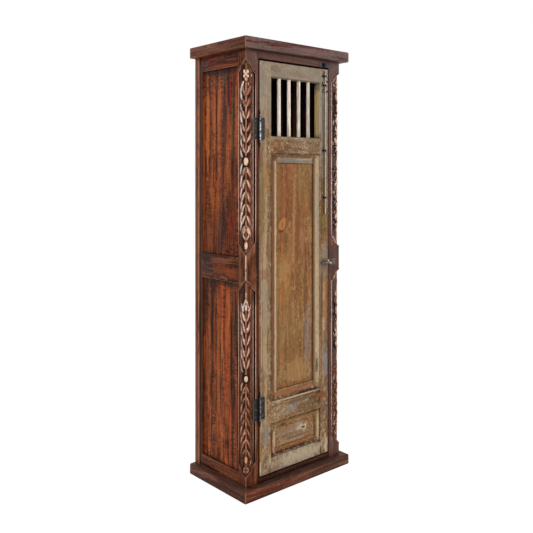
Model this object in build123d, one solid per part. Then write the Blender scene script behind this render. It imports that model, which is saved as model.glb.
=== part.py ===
"""Tall narrow storage cabinet: plinth and cornice frames, carved front corner posts, framed plank sides
and back, three shelves, and one framed door with a spindled window, moulded panels and iron fittings.

Millimetres. +Z is up, -Y is the front, and the origin is at the middle of the base on the floor.
Wood members are made as spans, (x0, x1, y0, y1, z0, z1), and every mortise, groove and notch is the
span of the piece that goes in, grown by its clearance.
"""

from build123d import *
import os
from math import sqrt

# ------------------------------------------------------------------ case
case_width = 567.0  # over the outside faces of the posts
case_depth = 364.0  # from the front faces of the posts to the back
case_height = 1837.0  # from the plinth to the cornice
side_overhang = 29.0  # plinth and cornice past the posts, at each side
front_overhang = 34.0
plinth_thickness = 45.0
cornice_thickness = 48.0
slab_board_width = 90.0  # the boards of the plinth and cornice frames
slab_edge_round = 6.0
top_board_thickness = 20.0
top_board_bearing = 12.0  # rebate that carries the top boards inside the cornice
top_board_count = 3
floor_board_thickness = 16.0
floor_board_count = 3

front_post_width = 70.0
front_post_depth = 48.0
back_post_width = 40.0
back_post_depth = 48.0

# carved field on the outer corner of each front post
field_front_reach = 52.0  # from the corner
field_side_reach = 43.0
field_sink = 7.0
roll_radius = 22.0  # the round that carries the leaf garland
roll_inset = 3.5
field_stop_length = 54.0
field_end_margin = 50.0  # plain post above the upper field and below the lower one
plain_block_bottom = 912.0  # plain stretch between the fields, above the floor
plain_block_height = 108.0

# side frames
side_rail_thickness = 26.0
side_rail_setback = 2.0
side_top_rail_height = 64.0
side_mid_rail_height = 109.0
side_mid_rail_bottom = 895.0  # above the floor
side_bottom_rail_height = 51.0
side_board_thickness = 12.0
side_board_recess = 9.0  # behind the rails' faces
upper_board_widths = (103.0, 119.0)  # from the back; the last board fills the frame
lower_board_widths = (34.0, 86.0, 90.0)
board_gap = 1.2

# front and back rails
header_height = 32.0
threshold_height = 21.0
front_rail_thickness = 26.0
front_rail_setback = 1.0
back_rail_thickness = 26.0
back_rail_height = 60.0
back_tenon_length = 16.0
back_board_thickness = 14.0
back_board_count = 5

# shelves
shelf_thickness = 20.0
shelf_spacing = 440.0  # from the floor boards to the first shelf, and from shelf to shelf
shelf_count = 3
shelf_front_gap = 3.0
shelf_side_gap = 1.0
cleat_height = 22.0
cleat_width = 25.0

# joints in the wood
tenon_length = 25.0
tenon_thickness = 9.0
tenon_shoulder = 4.0
tongue_depth = 8.0
wood_clearance = 0.3
dowel_radius = 6.0
dowel_length = 48.0
dowel_wall = 6.0  # wood between a dowel and the nearest tenon

# ------------------------------------------------------------------ door
door_thickness = 35.0
door_gap_hinge = 4.5
door_gap_latch = 3.5
door_gap_top = 9.0
door_gap_bottom = 6.0
hinge_stile_width = 68.0
latch_stile_width = 55.0
door_top_rail_height = 65.0
window_height = 254.0
window_rail_height = 77.0
lock_rail_height = 97.0
small_panel_height = 142.0
door_bottom_rail_height = 69.0
door_tenon_length = 38.0
door_tenon_thickness = 11.0
door_tenon_shoulder = 9.0
door_panel_thickness = 12.0
door_panel_recess = 10.0
tall_moulding_width = 41.0
small_moulding_width = 30.0
moulding_height = 8.0
moulding_lip = 3.0
bead_width = 10.0
bead_height = 4.5
cove_foot = 1.5
spindle_radius = 8.0
spindle_count = 4
spindle_socket = 15.0
door_stop_width = 12.0
door_stop_gap = 2.0

# ------------------------------------------------------------------ iron fittings
hinge_inset = 290.0  # from each end of the door to the middle of a hinge
hinge_height = 95.0
hinge_leaf_reach = 31.0  # from the pin to a leaf's outer edge
leaf_thickness = 2.5
leaf_corner = 4.0
knuckle_radius = 6.5
knuckle_count = 5
knuckle_gap = 0.4
knuckle_stand_off = 0.4
hinge_pin_radius = 3.5
hinge_pin_clearance = 0.05
finial_length = 33.0
finial_ball_radius = 5.5
finial_neck_radius = 3.2
finial_collar = 2.0
hinge_screw_count = 3

screw_radius = 1.75
screw_head_radius = 4.0
screw_length = 18.0
pin_radius = 1.3  # the small nails of guides and plates
pin_head_radius = 2.8
pin_length = 14.0
pin_edge = 5.0  # from a plate's edge
fastener_clearance = 0.12
head_height_share = 0.45  # of the head's radius

rod_radius = 4.0
rod_length = 660.0
rod_travel = 24.0
rod_engagement = 7.0  # how far the lifted rod stands in its keeper
rod_stand_off = 7.0  # from the door's face to the rod's axis
rod_arm = 16.0
rod_knob_radius = 5.0
rod_collar_radius = 6.5
rod_collar_length = 8.0
guide_drops = (33.0, 75.0, 375.0, 591.0)  # from the top of the door
guide_width = 36.0
guide_height = 10.0
guide_wall = 2.5
strap_thickness = 2.0
slide_clearance = 0.1

keeper_width = 60.0
keeper_height = 17.0
keeper_edge = 1.0  # from the header's lower edge
keeper_barrel_radius = 7.0
keeper_clearance = 0.3  # round a bolt's end in its keeper

latch_height = 951.0  # bolt's axis above the floor
latch_bolt_radius = 4.5
latch_plate_height = 36.0
latch_plate_edge = 11.0  # from the door's edge
latch_plate_thickness = 2.5
latch_loop_width = 4.0
latch_loop_spacing = 16.0
latch_loop_wall = 2.5
latch_loop_edge = 1.0
latch_travel = 13.0
latch_lead = 1.0  # gap from the bolt's end to the keeper's mouth
latch_stem_radius = 2.5
latch_stem_length = 10.0
latch_knob_radius = 5.5
latch_tab_height = 22.0
latch_tab_thickness = 2.5
latch_tab_lean = -40.0
latch_keeper_width = 29.0
latch_keeper_height = 26.0
latch_keeper_start = 10.0  # from the post's inner edge to the keeper's mouth
latch_keeper_barrel = 14.0

# ------------------------------------------------------------------ places worked out from the sizes
x_side = case_width / 2
x_slab = x_side + side_overhang
y_back = (case_depth + front_overhang) / 2
y_front = y_back - case_depth
y_slab = y_front - front_overhang
z_case = plinth_thickness
z_cornice = z_case + case_height
z_top = z_cornice + cornice_thickness

x_post = x_side - front_post_width
y_post = y_front + front_post_depth
x_back_post = x_side - back_post_width
y_back_post = y_back - back_post_depth
x_rail_out = x_side - side_rail_setback
x_rail_in = x_rail_out - side_rail_thickness
x_board_out = x_rail_out - side_board_recess
x_board_in = x_board_out - side_board_thickness
z_rail_low = z_case + side_bottom_rail_height
z_mid_low = side_mid_rail_bottom
z_mid_high = z_mid_low + side_mid_rail_height
z_rail_high = z_cornice - side_top_rail_height

y_rail_front = y_front + front_rail_setback
y_rail_back = y_rail_front + front_rail_thickness
z_opening_low = z_case + threshold_height
z_opening_high = z_cornice - header_height
y_board_back = y_back - back_board_thickness
y_back_rail = y_board_back - back_rail_thickness
z_floor = z_case + floor_board_thickness

x_door_hinge = -x_post + door_gap_hinge
x_door_latch = x_post - door_gap_latch
x_panel_left = x_door_hinge + hinge_stile_width
x_panel_right = x_door_latch - latch_stile_width
y_door_back = y_front + door_thickness
z_door_low = z_opening_low + door_gap_bottom
z_door_high = z_opening_high - door_gap_top
z_small_low = z_door_low + door_bottom_rail_height
z_small_high = z_small_low + small_panel_height
z_tall_low = z_small_high + lock_rail_height
z_window_high = z_door_high - door_top_rail_height
z_window_low = z_window_high - window_height
z_tall_high = z_window_low - window_rail_height
y_panel_front = y_front + door_panel_recess
y_panel_back = y_panel_front + door_panel_thickness

latch_plate_width = 2 * (latch_loop_edge + latch_loop_width) + latch_loop_spacing

x_pin = -x_post + door_gap_hinge / 2
y_pin = y_front - knuckle_radius - knuckle_stand_off
x_rod = (x_panel_right + x_door_latch) / 2
y_rod = y_front - rod_stand_off
z_rod_high = z_opening_high + keeper_edge + rod_engagement - rod_travel
z_rod_low = z_rod_high - rod_length
y_latch = y_front - latch_plate_thickness - latch_loop_wall - latch_bolt_radius
x_latch_mouth = x_post + latch_keeper_start

cut_past = 1.0  # how far a cut runs past the face it opens
tolerance = 0.01  # for finding an edge by its place


# ------------------------------------------------------------------ helpers
def solid(span):
    """A box that fills a span."""
    x0, x1, y0, y1, z0, z1 = span
    return Pos((x0 + x1) / 2, (y0 + y1) / 2, (z0 + z1) / 2) * Box(x1 - x0, y1 - y0, z1 - z0)


def grown(span, by=wood_clearance):
    """The span of the hole that a piece of this span goes into."""
    x0, x1, y0, y1, z0, z1 = span
    return (x0 - by, x1 + by, y0 - by, y1 + by, z0 - by, z1 + by)


def mirrored(shape):
    """The same piece on the other side of the cabinet."""
    return mirror(shape, about=Plane.YZ)


def rod_along(axis, start, length, radius):
    """A round rod from a point, along +x, -x, -y or z."""
    turns = {"x": (0, 90, 0), "-x": (0, -90, 0), "-y": (90, 0, 0), "z": (0, 0, 0)}
    base = Cylinder(radius, length, align=(Align.CENTER, Align.CENTER, Align.MIN))
    return Pos(*start) * Rot(*turns[axis]) * base


def tenons_x(span, length, thickness, shoulder):
    """The two end tenons of a rail that runs along X, as spans."""
    x0, x1, y0, y1, z0, z1 = span
    mid = (y0 + y1) / 2
    cheeks = (mid - thickness / 2, mid + thickness / 2, z0 + shoulder, z1 - shoulder)
    return [(x0 - length, x0, *cheeks), (x1, x1 + length, *cheeks)]


def tenons_y(span, length, thickness, shoulder):
    """The two end tenons of a rail that runs along Y, as spans."""
    x0, x1, y0, y1, z0, z1 = span
    mid = (x0 + x1) / 2
    cheeks = (mid - thickness / 2, mid + thickness / 2)
    heights = (z0 + shoulder, z1 - shoulder)
    return [(*cheeks, y0 - length, y0, *heights), (*cheeks, y1, y1 + length, *heights)]


def joined(span, tenons):
    """A rail with its tenons."""
    shape = solid(span)
    for tenon in tenons:
        shape += solid(tenon)
    return shape


def cut(shape, holes):
    """A member with the holes of the pieces that go into it."""
    for hole in holes:
        shape -= hole
    return shape


def mortises(tenons):
    """The holes for a list of tenons."""
    return [solid(grown(tenon)) for tenon in tenons]


def planks_across(x0, x1, y0, y1, z0, z1, count):
    """Planks that run along X, side by side from front to back."""
    width = (y1 - y0 + board_gap) / count
    spans = []
    for i in range(count):
        start = y0 + i * width
        spans.append((x0, x1, start, start + width - board_gap, z0, z1))
    return spans


def fastener(at, radius, head_radius, length):
    """A domed, slotted fastener driven along +Y, with the underside of its head at a point."""
    height = head_height_share * head_radius
    dome_radius = (head_radius**2 + height**2) / (2 * height)
    x, y, z = at
    dome = Pos(x, y - height + dome_radius, z) * Sphere(dome_radius)
    head = dome & Pos(x, y, z) * Rot(90, 0, 0) * Cylinder(
        head_radius, height, align=(Align.CENTER, Align.CENTER, Align.MIN)
    )
    slot = Pos(x, y - height, z) * Box(2.4 * head_radius, height, head_radius / 4)
    shank = Pos(x, y, z) * Rot(-90, 0, 0) * Cylinder(
        radius, length, align=(Align.CENTER, Align.CENTER, Align.MIN)
    )
    return head - slot + shank


def fastener_hole(at, radius, length):
    """The hole for a fastener's shank, through the plate that it holds and into the wood."""
    x, y, z = at
    return rod_along("-y", (x, y + length + fastener_clearance, z), 2 * length, radius + fastener_clearance)


def screw_holes(places):
    """The holes for screws at these places."""
    return [fastener_hole(place, screw_radius, screw_length) for place in places]


def pin_holes(places):
    """The holes for small nails at these places."""
    return [fastener_hole(place, pin_radius, pin_length) for place in places]


# ------------------------------------------------------------------ plinth and cornice
def slab_frame(z0, z1, rounds_up, rounds_down):
    """Front, left, right and back boards of a frame: mitred at the front, butted at the back."""
    inner_x = x_slab - slab_board_width
    inner_y = y_slab + slab_board_width
    back_y = y_back - slab_board_width
    thickness = z1 - z0
    round_size = min(slab_edge_round, thickness / 3)
    corner = (-x_slab, y_slab)
    inner_corner = (-inner_x, inner_y)
    front_outline = Polyline(corner, (x_slab, y_slab), (inner_x, inner_y), inner_corner, close=True)
    left_outline = Polyline(corner, inner_corner, (-inner_x, y_back), (-x_slab, y_back), close=True)
    front = Pos(0, 0, z0) * extrude(make_face(front_outline), amount=thickness)
    left = Pos(0, 0, z0) * extrude(make_face(left_outline), amount=thickness)
    front = rounded_edge(front, Axis.X, y_slab, z0, z1, round_size, rounds_up, rounds_down)
    left = rounded_edge(left, Axis.Y, -x_slab, z0, z1, round_size, rounds_up, rounds_down)
    back = solid((-inner_x, inner_x, back_y, y_back, z0, z1))
    return {"front": front, "left": left, "right": mirrored(left), "back": back}


def rounded_edge(board, axis, place, z0, z1, size, rounds_up, rounds_down):
    """The outer long edges of a frame board, eased."""
    levels = [z1] * rounds_up + [z0] * rounds_down
    across = 1 if axis == Axis.X else 0
    chosen = [
        edge
        for edge in board.edges().filter_by(axis)
        if abs(tuple(edge.center())[across] - place) < tolerance
        and min(abs(edge.center().Z - level) for level in levels) < tolerance
    ]
    return fillet(chosen, size)


plinth = slab_frame(0, z_case, True, False)
cornice = slab_frame(z_cornice, z_top, True, True)

x_top_board = x_slab - slab_board_width + top_board_bearing
y_top_front = y_slab + slab_board_width - top_board_bearing
y_top_back = y_back - slab_board_width + top_board_bearing
top_span = (-x_top_board, x_top_board, y_top_front, y_top_back, z_top - top_board_thickness, z_top)
rebate = Pos(0, 0, wood_clearance) * solid(grown(top_span))  # the boards sit on its floor
cornice = {side: board - rebate for side, board in cornice.items()}
top_planks = [solid(span) for span in planks_across(*top_span, top_board_count)]


# ------------------------------------------------------------------ posts
def field_cutter(z0, z1):
    """What is carved away from the left front corner: sunk grounds beside a round, with pointed ogee ends."""
    corner = (Align.MIN, Align.MIN)
    area = Pos(-cut_past, -cut_past) * Rectangle(
        field_front_reach + cut_past, field_side_reach + cut_past, align=corner
    )
    kept = Pos(field_sink, field_sink) * Rectangle(field_front_reach, field_side_reach, align=corner)
    centre = roll_radius + roll_inset
    roll = Pos(centre, centre) * Circle(roll_radius)
    ground = Pos(0, 0, z0) * extrude(area - kept - roll, amount=z1 - z0)
    depth = (field_front_reach + field_sink) / sqrt(2) + cut_past
    bend = field_stop_length
    half = ((depth - cut_past) / 2, field_stop_length / 2)
    top, bottom = z1, z0
    outline = [
        Line((-2 * cut_past, bottom), (0, bottom)),
        RadiusArc((0, bottom), (half[0], bottom + half[1]), -bend),
        RadiusArc((half[0], bottom + half[1]), (depth, bottom + field_stop_length), bend),
        Line((depth, bottom + field_stop_length), (depth, top - field_stop_length)),
        RadiusArc((depth, top - field_stop_length), (half[0], top - half[1]), bend),
        RadiusArc((half[0], top - half[1]), (0, top), -bend),
        Line((0, top), (-2 * cut_past, top)),
        Line((-2 * cut_past, top), (-2 * cut_past, bottom)),
    ]
    diagonal = Plane(origin=(0, 0, 0), x_dir=(1, 1, 0), z_dir=(1, -1, 0))
    lens = extrude(diagonal * make_face(outline), amount=field_front_reach, both=True)
    return Pos(-x_side, y_front, 0) * (ground & lens)


def post_dowels():
    """Dowels from the posts into the plinth and the cornice, as rods with one radius."""
    front = (x_post + tenon_length + dowel_radius + dowel_wall, y_post - 2 * dowel_radius)
    back = (x_side - back_post_width / 2, y_back_post + tenon_length + dowel_radius + dowel_wall)
    places = [(side * x, y) for side in (-1, 1) for x, y in (front, back)]
    return [(x, y, z - dowel_length / 2) for x, y in places for z in (z_case, z_cornice)]


dowel_places = post_dowels()
dowels = [rod_along("z", place, dowel_length, dowel_radius) for place in dowel_places]
hole_radius = dowel_radius + wood_clearance
hole_length = dowel_length + 2 * wood_clearance
dowel_holes = [
    rod_along("z", (x, y, z - wood_clearance), hole_length, hole_radius) for x, y, z in dowel_places
]
plinth = {side: cut(board, dowel_holes) for side, board in plinth.items()}
cornice = {side: cut(board, dowel_holes) for side, board in cornice.items()}

front_post_span = (-x_side, -x_post, y_front, y_post, z_case, z_cornice)
back_post_span = (-x_side, -x_back_post, y_back_post, y_back, z_case, z_cornice)

side_rail_spans = {
    "top": (-x_rail_out, -x_rail_in, y_post, y_back_post, z_rail_high, z_cornice),
    "mid": (-x_rail_out, -x_rail_in, y_post, y_back_post, z_mid_low, z_mid_high),
    "bottom": (-x_rail_out, -x_rail_in, y_post, y_back_post, z_case, z_rail_low),
}
side_tenons = {
    name: tenons_y(span, tenon_length, tenon_thickness, tenon_shoulder)
    for name, span in side_rail_spans.items()
}


def board_field(z0, z1):
    """The span of a side panel, with the tongues that go into the frame."""
    return (
        -x_board_out,
        -x_board_in,
        y_post - tongue_depth,
        y_back_post + tongue_depth,
        z0 - tongue_depth,
        z1 + tongue_depth,
    )


upper_field = board_field(z_mid_high, z_rail_high)
lower_field = board_field(z_rail_low, z_mid_low)
side_grooves = [solid(grown(upper_field)), solid(grown(lower_field))]


def side_boards(field, widths):
    """The upright boards of a side panel, from the back of the frame to the front."""
    x0, x1, y0, y1, z0, z1 = field
    marks = [y_back_post]
    for width in widths:
        marks.append(marks[-1] - width)
    edges = [y1] + marks[1:] + [y0]
    boards = []
    for i in range(len(edges) - 1):
        high = edges[i] - (board_gap / 2 if i else 0)
        low = edges[i + 1] + (board_gap / 2 if i < len(edges) - 2 else 0)
        boards.append(solid((x0, x1, low, high, z0, z1)))
    return boards


side_rails = {
    name: cut(joined(span, side_tenons[name]), side_grooves) for name, span in side_rail_spans.items()
}
all_side_tenons = [tenon for pair in side_tenons.values() for tenon in pair]

front_rail_spans = {
    "header": (-x_post, x_post, y_rail_front, y_rail_back, z_opening_high, z_cornice),
    "threshold": (-x_post, x_post, y_rail_front, y_rail_back, z_case, z_opening_low),
}
front_tenons = {
    name: tenons_x(span, tenon_length, tenon_thickness, tenon_shoulder)
    for name, span in front_rail_spans.items()
}
back_rail_spans = {
    "top": (-x_back_post, x_back_post, y_back_rail, y_board_back, z_cornice - back_rail_height, z_cornice),
    "bottom": (-x_back_post, x_back_post, y_back_rail, y_board_back, z_case, z_case + back_rail_height),
}
back_tenons = {
    name: tenons_x(span, back_tenon_length, tenon_thickness, tenon_shoulder)
    for name, span in back_rail_spans.items()
}
all_front_tenons = [tenon for pair in front_tenons.values() for tenon in pair]
all_back_tenons = [tenon for pair in back_tenons.values() for tenon in pair]

z_block_high = plain_block_bottom + plain_block_height
fields = [
    field_cutter(z_block_high, z_cornice - field_end_margin),
    field_cutter(z_case + field_end_margin, plain_block_bottom),
]

front_post = cut(solid(front_post_span), mortises(all_side_tenons) + side_grooves + fields)
back_post = cut(solid(back_post_span), mortises(all_side_tenons) + side_grooves)
front_post_left = cut(front_post, mortises(all_front_tenons) + dowel_holes)
front_post_right = cut(mirrored(front_post), mortises(all_front_tenons) + dowel_holes)
back_post_left = cut(back_post, mortises(all_back_tenons) + dowel_holes)
back_post_right = cut(mirrored(back_post), mortises(all_back_tenons) + dowel_holes)

# ------------------------------------------------------------------ floor, back and shelves
floor_span = (-x_rail_in, x_rail_in, y_rail_back, y_back_rail, z_case, z_floor)
post_notches = []
for post in (front_post_span, back_post_span):
    notch = solid(grown(post))
    post_notches += [notch, mirrored(notch)]
floor_planks = [cut(solid(span), post_notches) for span in planks_across(*floor_span, floor_board_count)]

back_plank_width = (2 * x_back_post + board_gap) / back_board_count
back_planks = []
for i in range(back_board_count):
    x_start = -x_back_post + i * back_plank_width
    back_planks.append(
        solid((x_start, x_start + back_plank_width - board_gap, y_board_back, y_back, z_case, z_cornice))
    )

x_cleat_in = x_rail_in - cleat_width
x_shelf = x_rail_in - shelf_side_gap
shelf_tops = [z_floor + (i + 1) * shelf_spacing for i in range(shelf_count)]
shelves = []
cleats = []
for z in shelf_tops:
    shelf = (-x_shelf, x_shelf, y_post + shelf_front_gap, y_board_back, z - shelf_thickness, z)
    shelves.append(cut(solid(shelf), post_notches))
    low = z - shelf_thickness - cleat_height
    cleat = solid((-x_rail_in, -x_cleat_in, y_post, y_back_post, low, low + cleat_height))
    cleats += [cleat, mirrored(cleat)]

door_stop = solid(
    (x_post - door_stop_width, x_post, y_door_back + door_stop_gap, y_post, z_opening_low, z_opening_high)
)

# ------------------------------------------------------------------ door
door_rail_spans = {
    "top": (x_panel_left, x_panel_right, y_front, y_door_back, z_window_high, z_door_high),
    "window": (x_panel_left, x_panel_right, y_front, y_door_back, z_tall_high, z_window_low),
    "lock": (x_panel_left, x_panel_right, y_front, y_door_back, z_small_high, z_tall_low),
    "bottom": (x_panel_left, x_panel_right, y_front, y_door_back, z_door_low, z_small_low),
}
door_tenons = {
    name: tenons_x(span, door_tenon_length, door_tenon_thickness, door_tenon_shoulder)
    for name, span in door_rail_spans.items()
}
all_door_tenons = [tenon for pair in door_tenons.values() for tenon in pair]


def door_panel(z0, z1):
    """The span of a door panel, with the tongues that go into the stiles and rails."""
    return (
        x_panel_left - tongue_depth,
        x_panel_right + tongue_depth,
        y_panel_front,
        y_panel_back,
        z0 - tongue_depth,
        z1 + tongue_depth,
    )


tall_panel = door_panel(z_tall_low, z_tall_high)
small_panel = door_panel(z_small_low, z_small_high)
panel_grooves = [solid(grown(tall_panel)), solid(grown(small_panel))]

spindle_pitch = (x_panel_right - x_panel_left) / (spindle_count + 1)
y_spindle = (y_front + y_door_back) / 2
spindle_places = [x_panel_left + (i + 1) * spindle_pitch for i in range(spindle_count)]
spindle_length = window_height + 2 * spindle_socket
spindle_feet = [(x, y_spindle, z_window_low - spindle_socket) for x in spindle_places]
spindles = [rod_along("z", foot, spindle_length, spindle_radius) for foot in spindle_feet]
spindle_hole_radius = spindle_radius + slide_clearance
spindle_holes = [rod_along("z", foot, spindle_length, spindle_hole_radius) for foot in spindle_feet]

door_rails = {
    name: cut(joined(span, door_tenons[name]), panel_grooves) for name, span in door_rail_spans.items()
}
door_rails["top"] = cut(door_rails["top"], spindle_holes)
door_rails["window"] = cut(door_rails["window"], spindle_holes)

hinge_stile = cut(
    solid((x_door_hinge, x_panel_left, y_front, y_door_back, z_door_low, z_door_high)),
    mortises(all_door_tenons) + panel_grooves,
)
latch_stile = cut(
    solid((x_panel_right, x_door_latch, y_front, y_door_back, z_door_low, z_door_high)),
    mortises(all_door_tenons) + panel_grooves,
)


def moulding_profile(width):
    """Section of a moulding: across its width, and out from the panel's face."""
    bead_start = width - bead_width
    middle = (moulding_lip + bead_start) / 2
    cove_middle = cove_foot + (moulding_height - cove_foot) / 3
    return make_face(
        [
            Line((0, 0), (0, moulding_height)),
            Line((0, moulding_height), (moulding_lip, moulding_height)),
            ThreePointArc((moulding_lip, moulding_height), (middle, cove_middle), (bead_start, cove_foot)),
            ThreePointArc((bead_start, cove_foot), (bead_start + bead_width / 2, bead_height), (width, 0)),
            Line((width, 0), (0, 0)),
        ]
    )


def moulding_frame(z0, z1, width):
    """Four mitred strips round the inside of a panel opening, on the panel's face."""
    x0, x1 = x_panel_left, x_panel_right
    corners = [(x0, z0), (x1, z0), (x1, z1), (x0, z1)]
    xi0, xi1, zi0, zi1 = x0 + width, x1 - width, z0 + width, z1 - width
    inner = [(xi0, zi0), (xi1, zi0), (xi1, zi1), (xi0, zi1)]
    inward = [(0, 1), (-1, 0), (0, -1), (1, 0)]
    strips = []
    for i in range(4):
        j = (i + 1) % 4
        a, b = corners[i], corners[j]
        along = (b[0] - a[0], b[1] - a[1])
        length = abs(along[0]) + abs(along[1])
        section = Plane(
            origin=(a[0], y_panel_front, a[1]),
            x_dir=(inward[i][0], 0, inward[i][1]),
            z_dir=(along[0] / length, 0, along[1] / length),
        )
        profile = moulding_profile(width)
        outward = section.y_dir.Y < 0
        strip = extrude(section * (profile if outward else mirror(profile, about=Plane.XZ)), amount=length)
        trapezoid = Plane(origin=(0, y_panel_front, 0), x_dir=(1, 0, 0), z_dir=(0, -1, 0)) * make_face(
            Polyline(a, b, inner[j], inner[i], close=True)
        )
        strips.append(strip & extrude(trapezoid, amount=moulding_height))
    return strips


tall_moulding = moulding_frame(z_tall_low, z_tall_high, tall_moulding_width)
small_moulding = moulding_frame(z_small_low, z_small_high, small_moulding_width)


# ------------------------------------------------------------------ hinges
def hinge_leaf(z_mid, side, knuckles):
    """A leaf on one side of the pin (-1 the post's, 1 the door's), with its own knuckles and screw holes."""
    z0 = z_mid - hinge_height / 2
    step = hinge_height / knuckle_count
    near, far = knuckle_radius + knuckle_stand_off, hinge_leaf_reach
    middle = x_pin + side * (near + far) / 2
    plate = Pos(middle, y_front - leaf_thickness / 2, z_mid) * Box(far - near, leaf_thickness, hinge_height)
    outer_edges = [
        edge
        for edge in plate.edges().filter_by(Axis.Y)
        if abs(edge.center().X - x_pin - side * far) < tolerance
    ]
    leaf = chamfer(outer_edges, leaf_corner)
    for i in knuckles:
        low = z0 + i * step + knuckle_gap / 2
        height = step - knuckle_gap
        tab = Pos(x_pin + side * near / 2, y_front - leaf_thickness / 2, low + height / 2)
        leaf += tab * Box(near, leaf_thickness, height)
        leaf += rod_along("z", (x_pin, y_pin, low), height, knuckle_radius)
    bore = hinge_pin_radius + hinge_pin_clearance
    leaf -= rod_along("z", (x_pin, y_pin, z0 - cut_past), hinge_height + 2 * cut_past, bore)
    return leaf


def hinge_screw_places(z_mid, side):
    """Where a leaf's screws sit, with the two outer ones nearer the leaf's edge."""
    step = hinge_height / hinge_screw_count
    near, far = knuckle_radius + knuckle_stand_off, hinge_leaf_reach
    places = []
    for i in range(hinge_screw_count):
        stagger = 1.5 if i % 2 else -1.5
        x = x_pin + side * ((near + far) / 2 - stagger)
        places.append((x, y_front - leaf_thickness, z_mid + (i - (hinge_screw_count - 1) / 2) * step))
    return places


def hinge_pin(z_mid):
    """A loose pin with a turned finial at each end; the upper one rests on the top knuckle."""
    seat = hinge_height / 2 - knuckle_gap / 2
    ball, neck = finial_ball_radius, finial_neck_radius
    ball_low = seat + finial_collar + neck / 2
    ball_high = ball_low + 2 * ball
    profile = make_face(
        [
            Polyline((0, seat), (ball, seat), (ball, seat + finial_collar), (neck, ball_low)),
            ThreePointArc((neck, ball_low), (ball, (ball_low + ball_high) / 2), (neck, ball_high)),
            Polyline((neck, ball_high), (0, seat + finial_length), (0, seat)),
        ]
    )
    upper = revolve(Plane.XZ * profile, Axis.Z)
    lower = Pos(0, 0, -slide_clearance) * mirror(upper, about=Plane.XY)
    shaft = Pos(0, 0, -slide_clearance / 2) * Cylinder(hinge_pin_radius, 2 * seat + slide_clearance)
    return Pos(x_pin, y_pin, z_mid) * (upper + shaft + lower)


hinge_middles = {"upper": z_door_high - hinge_inset, "lower": z_door_low + hinge_inset}
frame_knuckles = range(0, knuckle_count, 2)
door_knuckles = range(1, knuckle_count, 2)
frame_leaves, door_leaves, hinge_pins = {}, {}, {}
frame_screw_places, door_screw_places = [], []
for name, z in hinge_middles.items():
    frame_places = hinge_screw_places(z, -1)
    door_places = hinge_screw_places(z, 1)
    frame_leaves[name] = cut(hinge_leaf(z, -1, frame_knuckles), screw_holes(frame_places))
    door_leaves[name] = cut(hinge_leaf(z, 1, door_knuckles), screw_holes(door_places))
    hinge_pins[name] = hinge_pin(z)
    frame_screw_places += frame_places
    door_screw_places += door_places


# ------------------------------------------------------------------ long bolt
def rod_guide(z):
    """A strap with a saddle over the rod, and its two nail places."""
    outer = rod_radius + slide_clearance + guide_wall
    strap = solid(
        (
            x_rod - guide_width / 2,
            x_rod + guide_width / 2,
            y_front - strap_thickness,
            y_front,
            z - guide_height / 2,
            z + guide_height / 2,
        )
    )
    saddle = solid((x_rod - outer, x_rod + outer, y_rod, y_front, z - guide_height / 2, z + guide_height / 2))
    barrel = rod_along("z", (x_rod, y_rod, z - guide_height / 2), guide_height, outer)
    bore = rod_along("z", (x_rod, y_rod, z - guide_height), 2 * guide_height, rod_radius + slide_clearance)
    reach = (guide_width / 2 + outer) / 2
    places = [(x_rod + side * reach, y_front - strap_thickness, z) for side in (-1, 1)]
    return strap + saddle + barrel - bore, places


guide_levels = [z_door_high - drop for drop in guide_drops]
rod_guides, guide_pin_places = [], []
for z in guide_levels:
    guide, places = rod_guide(z)
    rod_guides.append(cut(guide, pin_holes(places)))
    guide_pin_places += places

z_collar = guide_levels[-2] + guide_height / 2  # the collar rests on this guide
z_arm = z_rod_low + rod_radius
long_bolt = (
    rod_along("z", (x_rod, y_rod, z_rod_low), rod_length, rod_radius)
    + rod_along("z", (x_rod, y_rod, z_collar), rod_collar_length, rod_collar_radius - slide_clearance)
    + rod_along("x", (x_rod, y_rod, z_arm), rod_arm, rod_radius - 1)
    + Pos(x_rod + rod_arm, y_rod, z_arm) * Sphere(rod_knob_radius)
)


def header_keeper():
    """A plate on the header with a barrel that the long bolt rises into, and its nail places."""
    z0 = z_opening_high + keeper_edge
    z1 = z0 + keeper_height
    y_face = y_rail_front
    plate = solid(
        (x_rod - keeper_width / 2, x_rod + keeper_width / 2, y_face - leaf_thickness, y_face, z0, z1)
    )
    barrel = rod_along("z", (x_rod, y_rod, z0), keeper_height, keeper_barrel_radius)
    web = solid((x_rod - keeper_barrel_radius, x_rod + keeper_barrel_radius, y_rod, y_face, z0, z1))
    bore = rod_along("z", (x_rod, y_rod, z0 - cut_past), 2 * keeper_height, rod_radius + keeper_clearance)
    reach = (keeper_width / 2 + keeper_barrel_radius) / 2
    places = [(x_rod + side * reach, y_face - leaf_thickness, (z0 + z1) / 2) for side in (-1, 1)]
    return plate + web + barrel - bore, places


keeper, keeper_pin_places = header_keeper()
keeper = cut(keeper, pin_holes(keeper_pin_places))

# ------------------------------------------------------------------ side latch
x_plate_end = x_door_latch - latch_plate_edge
x_plate_start = x_plate_end - latch_plate_width
z_plate_low = latch_height - latch_plate_height / 2
z_plate_high = latch_height + latch_plate_height / 2
y_plate = y_front - latch_plate_thickness
loop_radius = latch_bolt_radius + slide_clearance + latch_loop_wall


def latch_loop(x0, width):
    """A square-backed loop that stands on a plate and holds the latch bolt."""
    arch = rod_along("x", (x0, y_latch, latch_height), width, loop_radius)
    back = solid((x0, x0 + width, y_latch, y_front, latch_height - loop_radius, latch_height + loop_radius))
    return arch + back


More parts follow.
